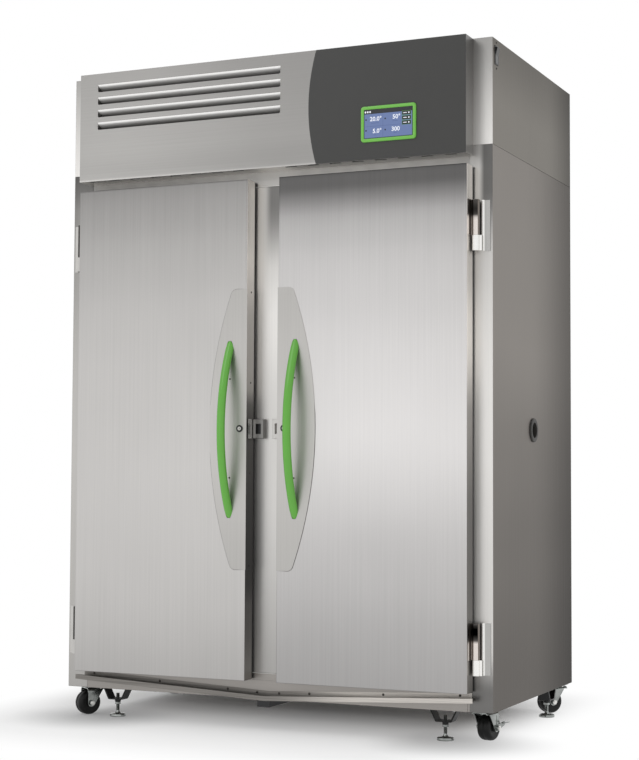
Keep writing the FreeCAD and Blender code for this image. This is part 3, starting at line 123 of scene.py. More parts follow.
# Camera, mirror and see-through rays meet a white dome, and the rest a dimmer one.
WHITE = linear("#ffffff")
DOME_LIGHT = 0.70
world = bpy.data.worlds.new("white_dome")
bpy.context.scene.world = world
world.use_nodes = True
sky = world.node_tree
sky.nodes.clear()
path = add(sky, "ShaderNodeLightPath").outputs
seen = path["Is Camera Ray"]
for ray in ("Is Glossy Ray", "Is Transmission Ray"):
    seen = add(sky, "ShaderNodeMath", {0: seen, 1: path[ray]}, operation="MAXIMUM")
strength = add(sky, "ShaderNodeMapRange", {"Value": seen, "To Min": DOME_LIGHT, "To Max": 1.0})
dome = add(sky, "ShaderNodeBackground", {"Color": WHITE, "Strength": strength})
add(sky, "ShaderNodeOutputWorld", {"Surface": dome})
RAMP_SPAN = 2.3


def set_stops(ramp, stops):
    """Gives a ramp its (position, colour) stops."""
    points = ramp.color_ramp.elements
    while len(points) < len(stops):
        points.new(0.5)
    for point, (position, colour) in zip(points, stops):
        point.position = position
        point.color = colour


def tone_by_height(tree, height, stops):
    """A grey factor that follows (height in metres, factor) stops."""
    share = add(tree, "ShaderNodeMath", {0: height, 1: RAMP_SPAN}, operation="DIVIDE")
    ramp = add(tree, "ShaderNodeValToRGB", {"Fac": share})
    ramp.color_ramp.interpolation = "CARDINAL"
    set_stops(ramp, [(level / RAMP_SPAN, (factor, factor, factor, 1.0)) for level, factor in stops])
    return ramp.outputs["Color"]


def blank_finish(name):
    """An empty material and its node tree."""
    finish = bpy.data.materials.new(name)
    finish.use_nodes = True
    finish.node_tree.nodes.clear()
    return finish, finish.node_tree


FLOOR_REACH = 24.0
floor_mesh = bpy.data.meshes.new("studio_floor")
floor_corners = [(x * FLOOR_REACH, y * FLOOR_REACH, 0) for x, y in ((-1, -1), (1, -1), (1, 1), (-1, 1))]
floor_mesh.from_pydata(floor_corners, [], [(0, 1, 2, 3)])
studio_floor = linked("studio_floor", floor_mesh)
white_paint, paint = blank_finish("white_floor_paint")
floor_place = add(paint, "ShaderNodeTexCoord").outputs["Object"]
floor_x, floor_y, _ = add(paint, "ShaderNodeSeparateXYZ", {"Vector": floor_place}).outputs

# Under the chamber the paint is plain matt white, and takes its cast shadow. Forwards, sideways and
# back of it the paint glows more and more instead, so that the floor ends in pure white. As the glow
# sets in slowly, centred a little left of the middle, the matt patch round the chamber is also a
# painted soft shadow that widens the real one.
forward = add(paint, "ShaderNodeMath", {0: 0.3, 1: floor_y}, operation="SUBTRACT")
matt_part = tone_by_height(paint, forward, (
    (0.05, 1.0), (0.22, 0.93), (0.39, 0.81), (0.55, 0.68), (0.70, 0.64), (0.92, 0.50), (1.10, 0.32),
    (1.35, 0.0)))
off_middle = add(paint, "ShaderNodeMath", {0: floor_x, 1: 0.18}, operation="ADD")
aside = add(paint, "ShaderNodeMath", {0: off_middle}, operation="ABSOLUTE")
for value, start, end in ((aside, 0.65, 1.05), (floor_y, 0.5, 1.1)):
    fall = add(paint, "ShaderNodeMapRange", {
        "Value": value, "From Min": start, "From Max": end, "To Min": 1.0, "To Max": 0.0},
        interpolation_type="SMOOTHSTEP")
    matt_part = add(paint, "ShaderNodeMath", {0: matt_part, 1: fall},
                     operation="MULTIPLY")

# Round each front foot and wheel a soft painted shadow darkens both the matt paint and the glow.
either_side = add(paint, "ShaderNodeMath", {0: floor_x}, operation="ABSOLUTE")
mirrored = add(paint, "ShaderNodeCombineXYZ", {"X": either_side, "Y": floor_y})
foot_far = add(paint, "ShaderNodeVectorMath", {0: mirrored, 1: (0.66, -0.36, 0.0)},
               operation="DISTANCE")
painted_foot_shadow = add(paint, "ShaderNodeMapRange", {
    "Value": foot_far.outputs["Value"], "From Min": 0.03, "From Max": 0.34, "To Min": 0.62, "To Max": 1.0},
    interpolation_type="SMOOTHSTEP")
matt_share = add(paint, "ShaderNodeMath", {0: matt_part, 1: painted_foot_shadow}, operation="MULTIPLY")
glow_part = add(paint, "ShaderNodeMath", {0: 1.0, 1: matt_part}, operation="SUBTRACT")
glow_share = add(paint, "ShaderNodeMath", {0: glow_part, 1: painted_foot_shadow}, operation="MULTIPLY")
paint_tone = add(paint, "ShaderNodeVectorMath", {0: WHITE[:3], 1: matt_share},
                 operation="MULTIPLY")
paint_body = add(paint, "ShaderNodeBsdfDiffuse", {"Color": paint_tone})
paint_glow = add(paint, "ShaderNodeEmission", {"Color": WHITE, "Strength": glow_share})
paint_sum = add(paint, "ShaderNodeAddShader", {0: paint_body, 1: paint_glow})
add(paint, "ShaderNodeOutputMaterial", {"Surface": paint_sum})
floor_mesh.materials.append(white_paint)


def softbox(name, place, target, size, watts):
    """A rectangular lamp that faces a point of the chamber and isn't seen itself."""
    lamp = bpy.data.lights.new(name, "AREA")
    lamp.shape = "RECTANGLE"
    lamp.size, lamp.size_y = size
    lamp.energy = watts
    holder = linked(name, lamp)
    holder.location = place
    holder.rotation_euler = (Vector(target) - Vector(place)).to_track_quat("-Z", "Y").to_euler()
    holder.visible_camera = False


softbox("right_door_softbox", (-0.75, -3.6, 1.20), (0.35, -0.4, 1.15), (0.9, 1.1), 1.6)
softbox("left_door_softbox", (-2.20, -3.6, 1.00), (-0.35, -0.4, 1.00), (1.6, 1.6), 2.2)
softbox("high_softbox", (-1.6, -3.0, 3.8), (0.0, 0.0, 1.2), (2.2, 2.2), 22.0)


# Outer pans of the cabinet: sides, back, base and top deck. Each is folded from 1.2 mm
# stainless sheet with a fine vertical satin grain, and filled with foam from inside.
NOISE_MIDDLE = {"From Min": 0.3, "From Max": 0.7}


def brushed_stainless(name, tone, grain_axis="Z", stops=((0.0, 1.0), (2.3, 1.0)), rough=0.34,
                      across=None, edge=1.0, above=None, streaks=0.04):
    """Satin 304 stainless: a grey warm metal with streaks along its grain.

    Grit lines are about 0.3 mm apart, too fine to show, so the streaks are drawn 5 mm wide.
    The white dome gives the sheet little to mirror, so the soft light and dark of a real studio are
    painted into its colour: stops are (height, factor) pairs of painted light and shade, and across is
    (axis, from, to, factor) for a painted sideways fall into shade. above is (from, to) heights between
    which that fall sets in, edge below 1 takes down the glare at grazing angles, and streaks is the
    share by which the grain changes the tone.
    """
    steel, tree = blank_finish(name)
    place = add(tree, "ShaderNodeTexCoord").outputs["Object"]
    stretch = [1 / 0.005] * 3
    stretch["XYZ".index(grain_axis)] = 1 / 0.7
    grain_place = add(tree, "ShaderNodeMapping", {"Vector": place, "Scale": stretch})
    grain = add(tree, "ShaderNodeTexNoise", {
        "Vector": grain_place, "Scale": 1.0, "Detail": 3.0, "Roughness": 0.6}).outputs["Fac"]
    cloud = add(tree, "ShaderNodeTexNoise", {"Vector": place, "Scale": 2.2, "Detail": 2.0}).outputs["Fac"]
    streak = add(tree, "ShaderNodeMapRange", {
        **NOISE_MIDDLE, "Value": grain, "To Min": 1 - streaks, "To Max": 1 + streaks})
    blotch = add(tree, "ShaderNodeMapRange", {
        **NOISE_MIDDLE, "Value": cloud, "To Min": 0.975, "To Max": 1.025})
    shade = add(tree, "ShaderNodeMath", {0: streak, 1: blotch},
                operation="MULTIPLY")
    parts = add(tree, "ShaderNodeSeparateXYZ", {"Vector": place}).outputs
    # The sideways fall is painted shade.
    if across:
        axis, start, end, factor = across
        fall = add(tree, "ShaderNodeMapRange", {
            "Value": parts[axis], "From Min": start, "From Max": end, "To Min": 1.0, "To Max": factor},
            interpolation_type="SMOOTHSTEP")
        if above:
            setting_in = add(tree, "ShaderNodeMapRange", {
                "Value": parts["Z"], "From Min": above[0], "From Max": above[1]},
                interpolation_type="SMOOTHSTEP")
            fall = add(tree, "ShaderNodeMix", {0: setting_in, 2: 1.0, 3: fall})
        shade = add(tree, "ShaderNodeMath", {0: shade, 1: fall}, operation="MULTIPLY")
    # The height stops paint light and shade into the colour.
    by_height = add(tree, "ShaderNodeVectorMath", {0: tone_by_height(tree, parts["Z"], stops), 1: shade},
                    operation="MULTIPLY")
    colour = add(tree, "ShaderNodeVectorMath", {0: linear(tone)[:3], 1: by_height},
                 operation="MULTIPLY")
    polish = add(tree, "ShaderNodeMapRange", {
        **NOISE_MIDDLE, "Value": grain, "To Min": rough - 0.04, "To Max": rough + 0.05})
    relief = add(tree, "ShaderNodeBump", {"Height": grain, "Strength": 0.10, "Distance": 0.0004})
    body = add(tree, "ShaderNodeBsdfPrincipled", {
        "Base Color": colour, "Metallic": 1.0, "Roughness": polish,
        "Specular Tint": (edge, edge, edge, 1.0), "Normal": relief})
    add(tree, "ShaderNodeOutputMaterial", {"Surface": body})
    return steel


def face_width(face):
    """About the short side of a face: its area over half its outline."""
    outline = sum(edge.calc_length() for edge in face.edges)
    return 2 * face.calc_area() / outline


def welded(name):
    """A node's loose triangles as one welded bmesh with whole faces."""
    work = bmesh.new()
    work.from_mesh(nodes[name].data)
    bmesh.ops.remove_doubles(work, verts=work.verts, dist=2e-5)
    bmesh.ops.dissolve_limit(work, angle_limit=math.radians(0.5), verts=work.verts, edges=work.edges)
    bmesh.ops.recalc_face_normals(work, faces=work.faces)
    return work


def finished(name, mesh, finish, body, stands_for=(), others=()):
    """An object at the origin with its finish, riding on a body and standing for its nodes."""
    if not mesh.materials:
        for one in (finish, *others):
            mesh.materials.append(one)
    piece = linked(name, mesh)
    if stands_for:
        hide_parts(*stands_for)
    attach(piece, body)
    return piece


def mark_sharp(work, sharp):
    """Keeps the edges that turn more than sharp degrees crisp."""
    for edge in work.edges:
        edge.smooth = len(edge.link_faces) == 2 and edge.calc_face_angle(0) < math.radians(sharp)


def kept(name, work):
    """A bmesh turned into a mesh and freed."""
    mesh = bpy.data.meshes.new(name)
    work.to_mesh(mesh)
    work.free()
    return mesh


FOLD_ANGLE = math.radians(25.0)


def eased(name, radius, finish, curved=0.0, faced=()):
    """A node's shape as one welded mesh with its outer folds rounded, standing for the node.

    Faces narrower than curved, in metres, are shaded smooth, as they make up a rounded form.
    faced is (direction, least cosine, finish) for the faces that look about that way.
    """
    work = welded(name)
    widths = {face: face_width(face) for face in work.faces}
    folds = [edge for edge in work.edges
             if len(edge.link_faces) == 2
             and edge.calc_face_angle(0) > FOLD_ANGLE
             and min(widths[face] for face in edge.link_faces) > 3 * radius]
    bmesh.ops.bevel(work, geom=folds, offset=radius, segments=2, profile=0.5, affect="EDGES",
                    clamp_overlap=True)
    for face in work.faces:
        face.smooth = face_width(face) < max(2.2 * radius, curved)
        face.material_index = 0
        for index, (way, least, _) in enumerate(faced):
            if face.normal.dot(Vector(way).normalized()) > least:
                face.material_index = index + 1
    mark_sharp(work, 55.0)
    return finished(name + "_skin", kept(name + "_skin", work), finish, nodes[name]["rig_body"],
                    [name], [other for _, _, other in faced])


SIDES = (("left", -1), ("right", 1))
FRONT = (0, -1, 0)
# Each satin sheet shows faint streaks along its grain. Its light and shade are painted: a broad glow
# that follows the height, a fall into shade towards the back of the sides, brighter lit copies for the
# front-facing columns with painted shade at their tops and at the foot of the right one, and a painted
# fall into shade towards the left on the deck's front strip.
side_steel = brushed_stainless(
    "satin_stainless_sides", "#9d9893", across=("Y", 0.0, 0.6, 0.45), edge=0.5,
    stops=((0.22, 0.536), (0.47, 0.643), (0.73, 0.715), (0.99, 0.83), (1.25, 1.0), (1.9, 0.965)))
left_column_steel = brushed_stainless(
    "satin_stainless_left_column", "#b4b2af",
    stops=((0.10, 0.86), (0.20, 0.90), (0.55, 0.95), (0.95, 0.98), (1.4, 0.80), (1.75, 0.50), (1.86, 0.23)))
right_column_steel = brushed_stainless(
    "satin_stainless_right_column", "#d8d6d3", across=("X", 0.722, 0.742, 0.27), above=(1.52, 1.73),
    stops=((0.12, 0.25), (0.19, 0.33), (0.28, 0.85), (0.45, 0.93), (1.2, 0.985), (1.46, 0.815),
           (1.74, 0.72), (1.86, 0.70)))
deck_front_steel = brushed_stainless("satin_stainless_deck_front", "#aaa8a5", grain_axis="X",
                                     across=("X", 0.2, -0.5, 0.60))
eased("side_panel_left", 1.6 * MM, side_steel, faced=[(FRONT, 0.7, left_column_steel)])
eased("side_panel_right", 1.6 * MM, side_steel, faced=[(FRONT, 0.7, right_column_steel)])
eased("back_panel", 1.6 * MM, side_steel)
eased("top_deck", 1.6 * MM, side_steel, faced=[(FRONT, 0.7, deck_front_steel)])
base_steel = brushed_stainless("satin_stainless_base", "#96928e", grain_axis="X")
eased("base_pan", 1.2 * MM, base_steel)


# Insulation and liner: poured foam behind a white enamelled tub, which is what shows when the
# doors are open.
def coat(name, colour, rough=0.4, mottle=0.03, grain=0.0, grain_size=0.0008, metallic=0.0, glow=0.0,
         shine=0.5):
    """A painted, moulded or plated finish, with a faint mottle and a fine surface grain.

    mottle is the share by which the tone wanders, grain the bump's strength, and shine the
    level of the mirror layer.
    """
    finish, tree = blank_finish(name)
    place = add(tree, "ShaderNodeTexCoord").outputs["Object"]
    cloud = add(tree, "ShaderNodeTexNoise", {"Vector": place, "Scale": 28.0, "Detail": 3.0}).outputs["Fac"]
    wander = add(tree, "ShaderNodeMapRange", {
        **NOISE_MIDDLE, "Value": cloud, "To Min": 1 - mottle, "To Max": 1 + mottle})
    colour_now = add(tree, "ShaderNodeVectorMath", {0: linear(colour)[:3], 1: wander},
                     operation="MULTIPLY")
    polish = add(tree, "ShaderNodeMapRange", {
        **NOISE_MIDDLE, "Value": cloud, "To Min": rough - 0.03, "To Max": rough + 0.03})
    body = add(tree, "ShaderNodeBsdfPrincipled", {
        "Base Color": colour_now, "Metallic": metallic, "Roughness": polish,
        "Specular IOR Level": shine})
    if grain:
        speck = add(tree, "ShaderNodeTexNoise", {"Vector": place, "Scale": 1 / grain_size, "Detail": 2.0})
        relief = add(tree, "ShaderNodeBump", {"Height": speck.outputs["Fac"], "Strength": grain,
                                              "Distance": 0.0003})
        tree.links.new(relief.outputs[0], body.inputs["Normal"])
    if glow:
        body.inputs["Emission Color"].default_value = linear("#fffdf6")
        body.inputs["Emission Strength"].default_value = glow
    add(tree, "ShaderNodeOutputMaterial", {"Surface": body})
    return finish


def dressed(name, finish):
    """A CAD node kept as it is, with a finish in its material slot."""
    node = nodes[name]
    node.data.materials.clear()
    node.data.materials.append(finish)


# Foam is matt and yellowish; baked enamel is a cool white with a soft gloss.
foam = coat("poured_foam", "#dccfa6", rough=0.9, mottle=0.06, grain=0.4, grain_size=0.003)
white_enamel = coat("white_baked_enamel", "#ecece8", rough=0.3, mottle=0.01)
dressed("insulation", foam)
dressed("inner_liner", white_enamel)


# Mullion: a stainless box post between the doors, welded to the deck and the base. It shows as
# the bright strip beside the keepers.
# Its tone is painted light and shade: brightest at about 1.35 m, darker towards the base and the header, and
# darker still over its right half near the top.
mullion_steel = brushed_stainless(
    "satin_stainless_mullion", "#d7d5d2", across=("X", -0.030, 0.0, 0.36), above=(1.5, 1.74),
    stops=((0.15, 0.54), (0.6, 0.80), (1.1, 0.86), (1.35, 1.0), (1.6, 0.70), (1.8, 0.64)))
eased("mullion", 1.6 * MM, mullion_steel)


# Machine compartment cover: folded stainless, screwed on top of the cabinet, with punched slots
# at the back.
# Painted light and shade: the sides fall into shade towards the top and the back, and the front faces are a
# brighter lit copy that falls into painted shade towards the top.
cover_steel = brushed_stainless("satin_stainless_cover", "#95918b",
                                stops=((1.87, 1.0), (2.0, 1.0), (2.21, 0.70)),
                                across=("Y", 0.2, 0.6, 0.45), edge=0.5)
cover_front = brushed_stainless("satin_stainless_cover_front", "#dad8d5", stops=((1.87, 1.0), (2.21, 0.40)))
eased("module_cover", 1.4 * MM, cover_steel, faced=[(FRONT, 0.7, cover_front)])


# Header: one folded fascia with a horizontal grain, four pressed louvres and a slotted
# underside. The louvres' slopes carry painted light at the top that falls into painted shade towards
# the inside. The grain lies level here; a painted highlight makes the folded bottom edge a bright line,
# above it the face falls into painted shade towards the top and the right, and the underside is a
# brighter copy with a painted fall into shade towards the right.
header_steel = brushed_stainless(
    "satin_stainless_header", "#d2d0cd", grain_axis="X", rough=0.38, across=("X", -0.7, 0.15, 0.74),
    stops=((1.835, 1.0), (1.8382, 1.0), (1.8395, 0.588), (1.95, 0.55), (2.2, 0.423)))
under_steel = brushed_stainless("satin_stainless_underside", "#fbf8f3", grain_axis="X",
                                across=("X", -0.5, 0.6, 0.62))


TOP_LOUVRE = 2.1705
LOUVRE_PITCH = 0.0437
LOUVRE_TONES = ((0.0, "#f4f3f1"), (0.0085, "#f4f3f1"), (0.0125, "#d8d6d3"), (0.0195, "#8e8c89"),
                (0.030, "#f4f3f1"))

# The louvres' painted light and shade follow the height below the nearest louvre's top bend.
louvre_steel, tree = blank_finish("satin_stainless_louvres")
place = add(tree, "ShaderNodeTexCoord").outputs["Object"]
height = add(tree, "ShaderNodeSeparateXYZ", {"Vector": place}).outputs["Z"]
below = add(tree, "ShaderNodeMath", {0: TOP_LOUVRE, 1: height}, operation="SUBTRACT")
share = add(tree, "ShaderNodeMath", {0: below, 1: LOUVRE_PITCH}, operation="DIVIDE")
within = add(tree, "ShaderNodeMath", {0: share}, operation="FRACT")
ramp = add(tree, "ShaderNodeValToRGB", {"Fac": within})
set_stops(ramp, [(depth / LOUVRE_PITCH, linear(colour)) for depth, colour in LOUVRE_TONES])
body = add(tree, "ShaderNodeBsdfPrincipled", {"Base Color": ramp.outputs["Color"], "Metallic": 0.25,
                                              "Roughness": 0.5})
add(tree, "ShaderNodeOutputMaterial", {"Surface": body})
eased("header_fascia", 0.8 * MM, header_steel, curved=4.5 * MM,
      faced=[((0, -0.6, -0.8), 0.72, louvre_steel), ((0, 0, -1), 0.96, under_steel)])


# Control panel: a satin charcoal film with a fine grain over the header's right part, its left
# edge bowed out.
# Almost black with a soft sheen and no streaks.
charcoal = coat("charcoal_satin_film", "#434342", rough=0.45, mottle=0.02, grain=0.15, shine=0.22)
dressed("control_panel", charcoal)


# Display: a moulded green bezel with a rounded rim, round a blue touch screen that shows plain
# numbers, a black bar and three green-edged keys.
def tablet_outline(half_w, half_h, corner, steps=6):
    """Points round a rectangle with rounded corners, as pairs."""
    points = []
    for quarter, (sx, sy) in enumerate(((1, 1), (-1, 1), (-1, -1), (1, -1))):
        for step in range(steps + 1):
            angle = math.radians(90 * quarter + 90 * step / steps)
            points.append((sx * (half_w - corner) + corner * math.cos(angle),
                           sy * (half_h - corner) + corner * math.sin(angle)))
    return points


def skinned(rings, closed=True, ends=False):
    """A bmesh over rings of points, each joined to the next."""
    work = bmesh.new()
    rows = [[work.verts.new(point) for point in ring] for ring in rings]
    count = len(rows[0])
    pairs = list(zip(rows, rows[1:])) + ([(rows[-1], rows[0])] if closed else [])
    for one, two in pairs:
        for index in range(count):
            after = (index + 1) % count
            work.faces.new((one[index], one[after], two[after], two[index]))
    if ends:
        work.faces.new(rows[0])
        work.faces.new(list(reversed(rows[-1])))
    return work


def shaded(work, sharp=38.0):
    """The bmesh with smooth faces and the edges that turn more than sharp degrees marked."""
    bmesh.ops.recalc_face_normals(work, faces=work.faces)
    for face in work.faces:
        face.smooth = True
    mark_sharp(work, sharp)
    return work


def shaped(name, work, finish, body, stands_for=(), sharp=38.0):
    """A bmesh as a finished piece, smooth but for edges sharper than the angle given."""
    finished(name, kept(name, shaded(work, sharp)), finish, body, stands_for)


# Moulded ABS: an even green with a soft gloss.
green_plastic = coat("green_moulded_plastic", "#6cb646", rough=0.30, mottle=0.015, grain=0.12)
bezel_low, bezel_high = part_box("display_bezel")
SCREEN_X = (bezel_low[0] + bezel_high[0]) / 2
SCREEN_Z = (bezel_low[2] + bezel_high[2]) / 2
bezel_back = bezel_high[1]
bezel_face = bezel_low[1]
bezel_rings = []
for inset, out, corner in ((0.0, 0.0, 10.0), (0.0, 0.7, 10.0), (0.6, 0.92, 9.4), (1.6, 1.0, 8.4),
                           (9.4, 1.0, 2.4), (10.3, 0.92, 1.7), (10.7, 0.7, 1.3), (10.7, 0.0, 1.3)):
    outline = tablet_outline(94 - inset, 57.5 - inset, corner)
    depth = bezel_back + (bezel_face - bezel_back) * out
    bezel_rings.append([(SCREEN_X + x * MM, depth, SCREEN_Z + z * MM) for x, z in outline])
shaped("green_bezel", skinned(bezel_rings), green_plastic, "cabinet", ["display_bezel"])

# The glass border is near black and mirrors the room.
glass_black = coat("black_screen_border", "#14151a", rough=0.12, mottle=0.0)
dressed("display_unit", glass_black)
glass_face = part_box("display_unit")[0][1]


def lit(name, colour, share=0.75):
    """A patch of the lit screen: mostly its own light, with a glossy cover over it."""
    screen, tree = blank_finish(name)
    body = add(tree, "ShaderNodeBsdfPrincipled", {
        "Base Color": linear("#10131c"), "Roughness": 0.15, "Emission Color": linear(colour),
        "Emission Strength": share})
    add(tree, "ShaderNodeOutputMaterial", {"Surface": body})
    return screen


def facing_front(name, work, finish, body):
    """A flat bmesh as a finished piece that looks to the front."""
    work.normal_update()
    if sum(face.normal.y * face.calc_area() for face in work.faces) > 0:
        bmesh.ops.reverse_faces(work, faces=work.faces)
    finished(name, kept(name, work), finish, body)


SCREEN_LAYER = 0.00012


def patch(name, x, z, size, finish, layer, corner=0.0):
    """A flat patch on the screen, given in millimetres from the screen's middle."""
    half_w, half_h = size[0] / 2, size[1] / 2
    outline = tablet_outline(half_w, half_h, corner, 3) if corner else [
        (half_w, half_h), (-half_w, half_h), (-half_w, -half_h), (half_w, -half_h)]
    depth = glass_face - layer * SCREEN_LAYER
    work = bmesh.new()
    work.faces.new([work.verts.new((SCREEN_X + (x + a) * MM, depth, SCREEN_Z + (z + b) * MM))
                    for a, b in outline])
    facing_front("screen_" + name, work, finish, "cabinet")


FIGURE_HEIGHT = 13.5


def numerals(name, text, x, z):
    """Figures in the plain built-in face, as flat mesh on the screen."""
    words = bpy.data.curves.new(name, "FONT")
    words.body = text
    words.size = FIGURE_HEIGHT * MM / 0.7
    words.align_x = "RIGHT"
    words.offset = 0.00035
    words.resolution_u = 3
    holder = linked(name + "_words", words)
    mesh = bpy.data.meshes.new_from_object(holder)
    bpy.data.objects.remove(holder)
    corner = (SCREEN_X + x * MM, glass_face - 5 * SCREEN_LAYER, SCREEN_Z + z * MM)
    mesh.transform(Matrix.Translation(corner) @ Matrix.Rotation(math.pi / 2, 4, "X"))
    finished("figures_" + name, mesh, lit_white, "cabinet")


sky_blue = lit("lit_blue", "#6f84b8")
deep_blue = lit("lit_blue_line", "#56699c")
lit_black = lit("lit_black", "#101114", 0.2)
lit_white = lit("lit_white", "#f3f6ff", 0.95)
lit_green = lit("lit_green", "#4f8f3c", 0.7)
patch("field", 0.0, 0.0, (163.0, 90.0), sky_blue, 1)
patch("bar", 0.0, 38.5, (163.0, 13.0), lit_black, 2)
patch("cross_up", -18.0, -6.5, (0.9, 74.0), deep_blue, 2)
patch("cross_over", -18.0, -8.0, (124.0, 0.9), deep_blue, 2)
for index, (x, z) in enumerate(((-76, -21), (-10, 14), (-10, -22), (-76, 14))):
    patch("mark_%d" % index, x, z, (5.0, 5.0), lit_black, 3, 1.6)
for index, (x, z, wide) in enumerate(((-45, 2, 26), (24, 4, 18), (-45, -36, 8), (24, -34, 10))):
    patch("rule_%d" % index, x, z, (wide, 1.4), deep_blue, 3)
for index in range(3):
    z = 27.0 - index * 15.5
    patch("key_edge_%d" % index, 62.5, z, (31.0, 13.5), lit_green, 3)
    patch("key_%d" % index, 62.5, z, (28.6, 11.1), lit_black, 4)
    patch("key_rule_%d" % index, 57.5, z, (12.0, 2.4), lit_white, 5, 1.0)
    patch("key_dot_%d" % index, 70.5, z, (5.0, 5.0), lit_white, 5, 2.4)
for index, x in enumerate((-78.0, -70.0, -62.0)):
    patch("bar_mark_%d" % index, x, 38.5, (5.0, 6.0), lit_white, 4, 1.5)
for name, text, x, z in (("warmth", "20.0°", -22.0, 9.0), ("damp", "50°", 42.0, 11.0),
                         ("gas", "5.0°", -22.0, -30.0), ("light", "300", 40.0, -28.0)):
    numerals(name, text, x, z)


# Doors: a deep-drawn stainless skin around a foam core, its face brushed upright, with a white
# inner face and a black magnetic gasket. A painted dark line of shade marks the folded top edge.
# The drawn skins carry painted light, brightest at half height, the right one a brighter lit copy, and
# their thin edge faces are painted light and shade by height, nearly black in the middle.
door_steels = {
    "left": brushed_stainless(
        "satin_stainless_left_door", "#bcbab8",
        stops=((0.17, 0.84), (0.40, 0.95), (0.75, 0.975), (1.20, 0.93), (1.43, 0.865), (1.63, 0.70),
               (1.797, 0.47), (1.8025, 0.15))),
    "right": brushed_stainless(
        "satin_stainless_right_door", "#cbc9c8", across=("X", 0.1, 0.7, 1.05),
        stops=((0.21, 0.61), (0.43, 0.72), (0.66, 0.83), (0.88, 0.98), (1.10, 0.96), (1.33, 0.87),
               (1.55, 0.75), (1.67, 0.56), (1.745, 0.23), (1.797, 0.16), (1.8025, 0.05))),
}
free_edge_steel = brushed_stainless(
    "satin_stainless_free_edge", "#fffaf4",
    stops=((0.17, 0.35), (0.285, 0.20), (0.414, 0.115), (0.47, 0.05), (0.67, 0.04), (0.80, 0.059),
           (0.93, 0.089), (1.06, 0.15), (1.11, 0.43), (1.37, 0.52), (1.55, 1.0)))
hinge_edge_steel = brushed_stainless(
    "satin_stainless_hinge_edge", "#fffaf4",
    stops=((0.19, 0.42), (0.38, 0.20), (0.57, 0.155), (0.80, 0.20), (0.95, 0.32), (1.045, 0.41),
           (1.14, 0.74), (1.25, 1.0), (1.33, 1.0), (1.45, 0.80), (1.6, 0.90), (1.8, 1.0)))
# The gasket is matt black, and the liner a smooth white.
rubber = coat("black_rubber", "#1b1b1c", rough=0.6, mottle=0.05, grain=0.15)
door_white = coat("white_door_liner", "#e6e6e2", rough=0.32, mottle=0.01)


def slab(low, high, radius=0.0):
    """A bmesh box from corner to corner, in metres, its edges rounded."""
    work = bmesh.new()
    bmesh.ops.create_cube(work, size=1.0)
    for vert in work.verts:
        vert.co = [low[i] + (vert.co[i] + 0.5) * (high[i] - low[i]) for i in range(3)]
    if radius:
        bmesh.ops.bevel(work, geom=work.edges[:], offset=radius, segments=2, profile=0.5, affect="EDGES")
    return work


for side, sx in SIDES:
    eased("door_panel_" + side, 1.8 * MM, door_steels[side],
          faced=[((sx, 0, 0), 0.8, hinge_edge_steel), ((-sx, 0, 0), 0.8, free_edge_steel)])
    dressed("door_core_" + side, door_white)
    dressed("door_gasket_" + side, rubber)


# Handle plates: thin stainless plates that wrap the doors' free edges and bulge out behind the
# handles, held by small screws in the edge and two beside the handle.
def set_out(name, work, places, finish, body, stands_for=()):
    """Copies of one small form at many places, each a (point, outward direction) pair.

    The form is drawn with +Z outward. Geometry Nodes place it, and the result is kept as mesh.
    """
    work.normal_update()
    form = kept(name + "_form", work)
    spots = bpy.data.meshes.new(name + "_spots")
    spots.from_pydata([point for point, _ in places], [], [])
    facing = spots.attributes.new("facing", "FLOAT_VECTOR", "POINT")
    facing.data.foreach_set("vector", [value for _, way in places for value in way])
    holder = linked(name + "_spots", spots)
    source = linked(name + "_form", form)
    tree = bpy.data.node_groups.get("set_out") or set_out_nodes()
    layout = source.modifiers.new("set_out", "NODES")
    layout.node_group = tree
    sockets = {item.name: item.identifier for item in tree.interface.items_tree if item.in_out == "INPUT"}
    layout[sockets["Places"]] = holder
    layout[sockets["Finish"]] = finish
    bpy.context.view_layer.update()
    mesh = bpy.data.meshes.new_from_object(source.evaluated_get(bpy.context.evaluated_depsgraph_get()))
    mesh.name = name
    source.modifiers.clear()
    bpy.data.objects.remove(source)
    bpy.data.objects.remove(holder)
    finished(name, mesh, finish, body, stands_for)


def set_out_nodes():
    """Places the incoming form at each point of Places, turned to face along its attribute."""
    tree = bpy.data.node_groups.new("set_out", "GeometryNodeTree")
    for name, way, kind in (("Form", "INPUT", "Geometry"), ("Places", "INPUT", "Object"),
                            ("Finish", "INPUT", "Material"), ("Whole", "OUTPUT", "Geometry")):
        tree.interface.new_socket(name, in_out=way, socket_type="NodeSocket" + kind)
    start = add(tree, "NodeGroupInput")
    spots = add(tree, "GeometryNodeObjectInfo", {"Object": start.outputs["Places"]})
    way = add(tree, "GeometryNodeInputNamedAttribute", {"Name": "facing"}, data_type="FLOAT_VECTOR")
    turn = add(tree, "FunctionNodeAlignRotationToVector", {"Vector": way.outputs["Attribute"]}, axis="Z")
    copies = add(tree, "GeometryNodeInstanceOnPoints", {
        "Points": spots.outputs["Geometry"], "Instance": start.outputs["Form"],
        "Rotation": turn})
    real = add(tree, "GeometryNodeRealizeInstances", {"Geometry": copies})
    painted = add(tree, "GeometryNodeSetMaterial", {"Geometry": real,
                                                    "Material": start.outputs["Finish"]})
    add(tree, "NodeGroupOutput", {"Whole": painted})
    return tree


def ring_points(radius, height, count):
    """Points of a level circle, in metres, from a radius and a height in millimetres."""
    turns = [2 * math.pi * index / count for index in range(count)]
    return [Vector((radius * math.cos(turn), radius * math.sin(turn), height)) * MM for turn in turns]


def turned(profile, segments):
    """A bmesh of a profile of (radius, height) pairs in millimetres, turned about Z."""
    rings = [ring_points(max(radius, 0.01), height, segments) for radius, height in profile]
    return skinned(rings, closed=False, ends=True)


def screw_head(radius, height):
    """A low domed head with a small drive recess, drawn facing +Z."""
    return shaded(turned([(radius, 0.0), (radius, height * 0.45), (radius * 0.82, height * 0.86),
                          (radius * 0.42, height), (radius * 0.36, height * 0.45), (0.0, height * 0.45)], 16))


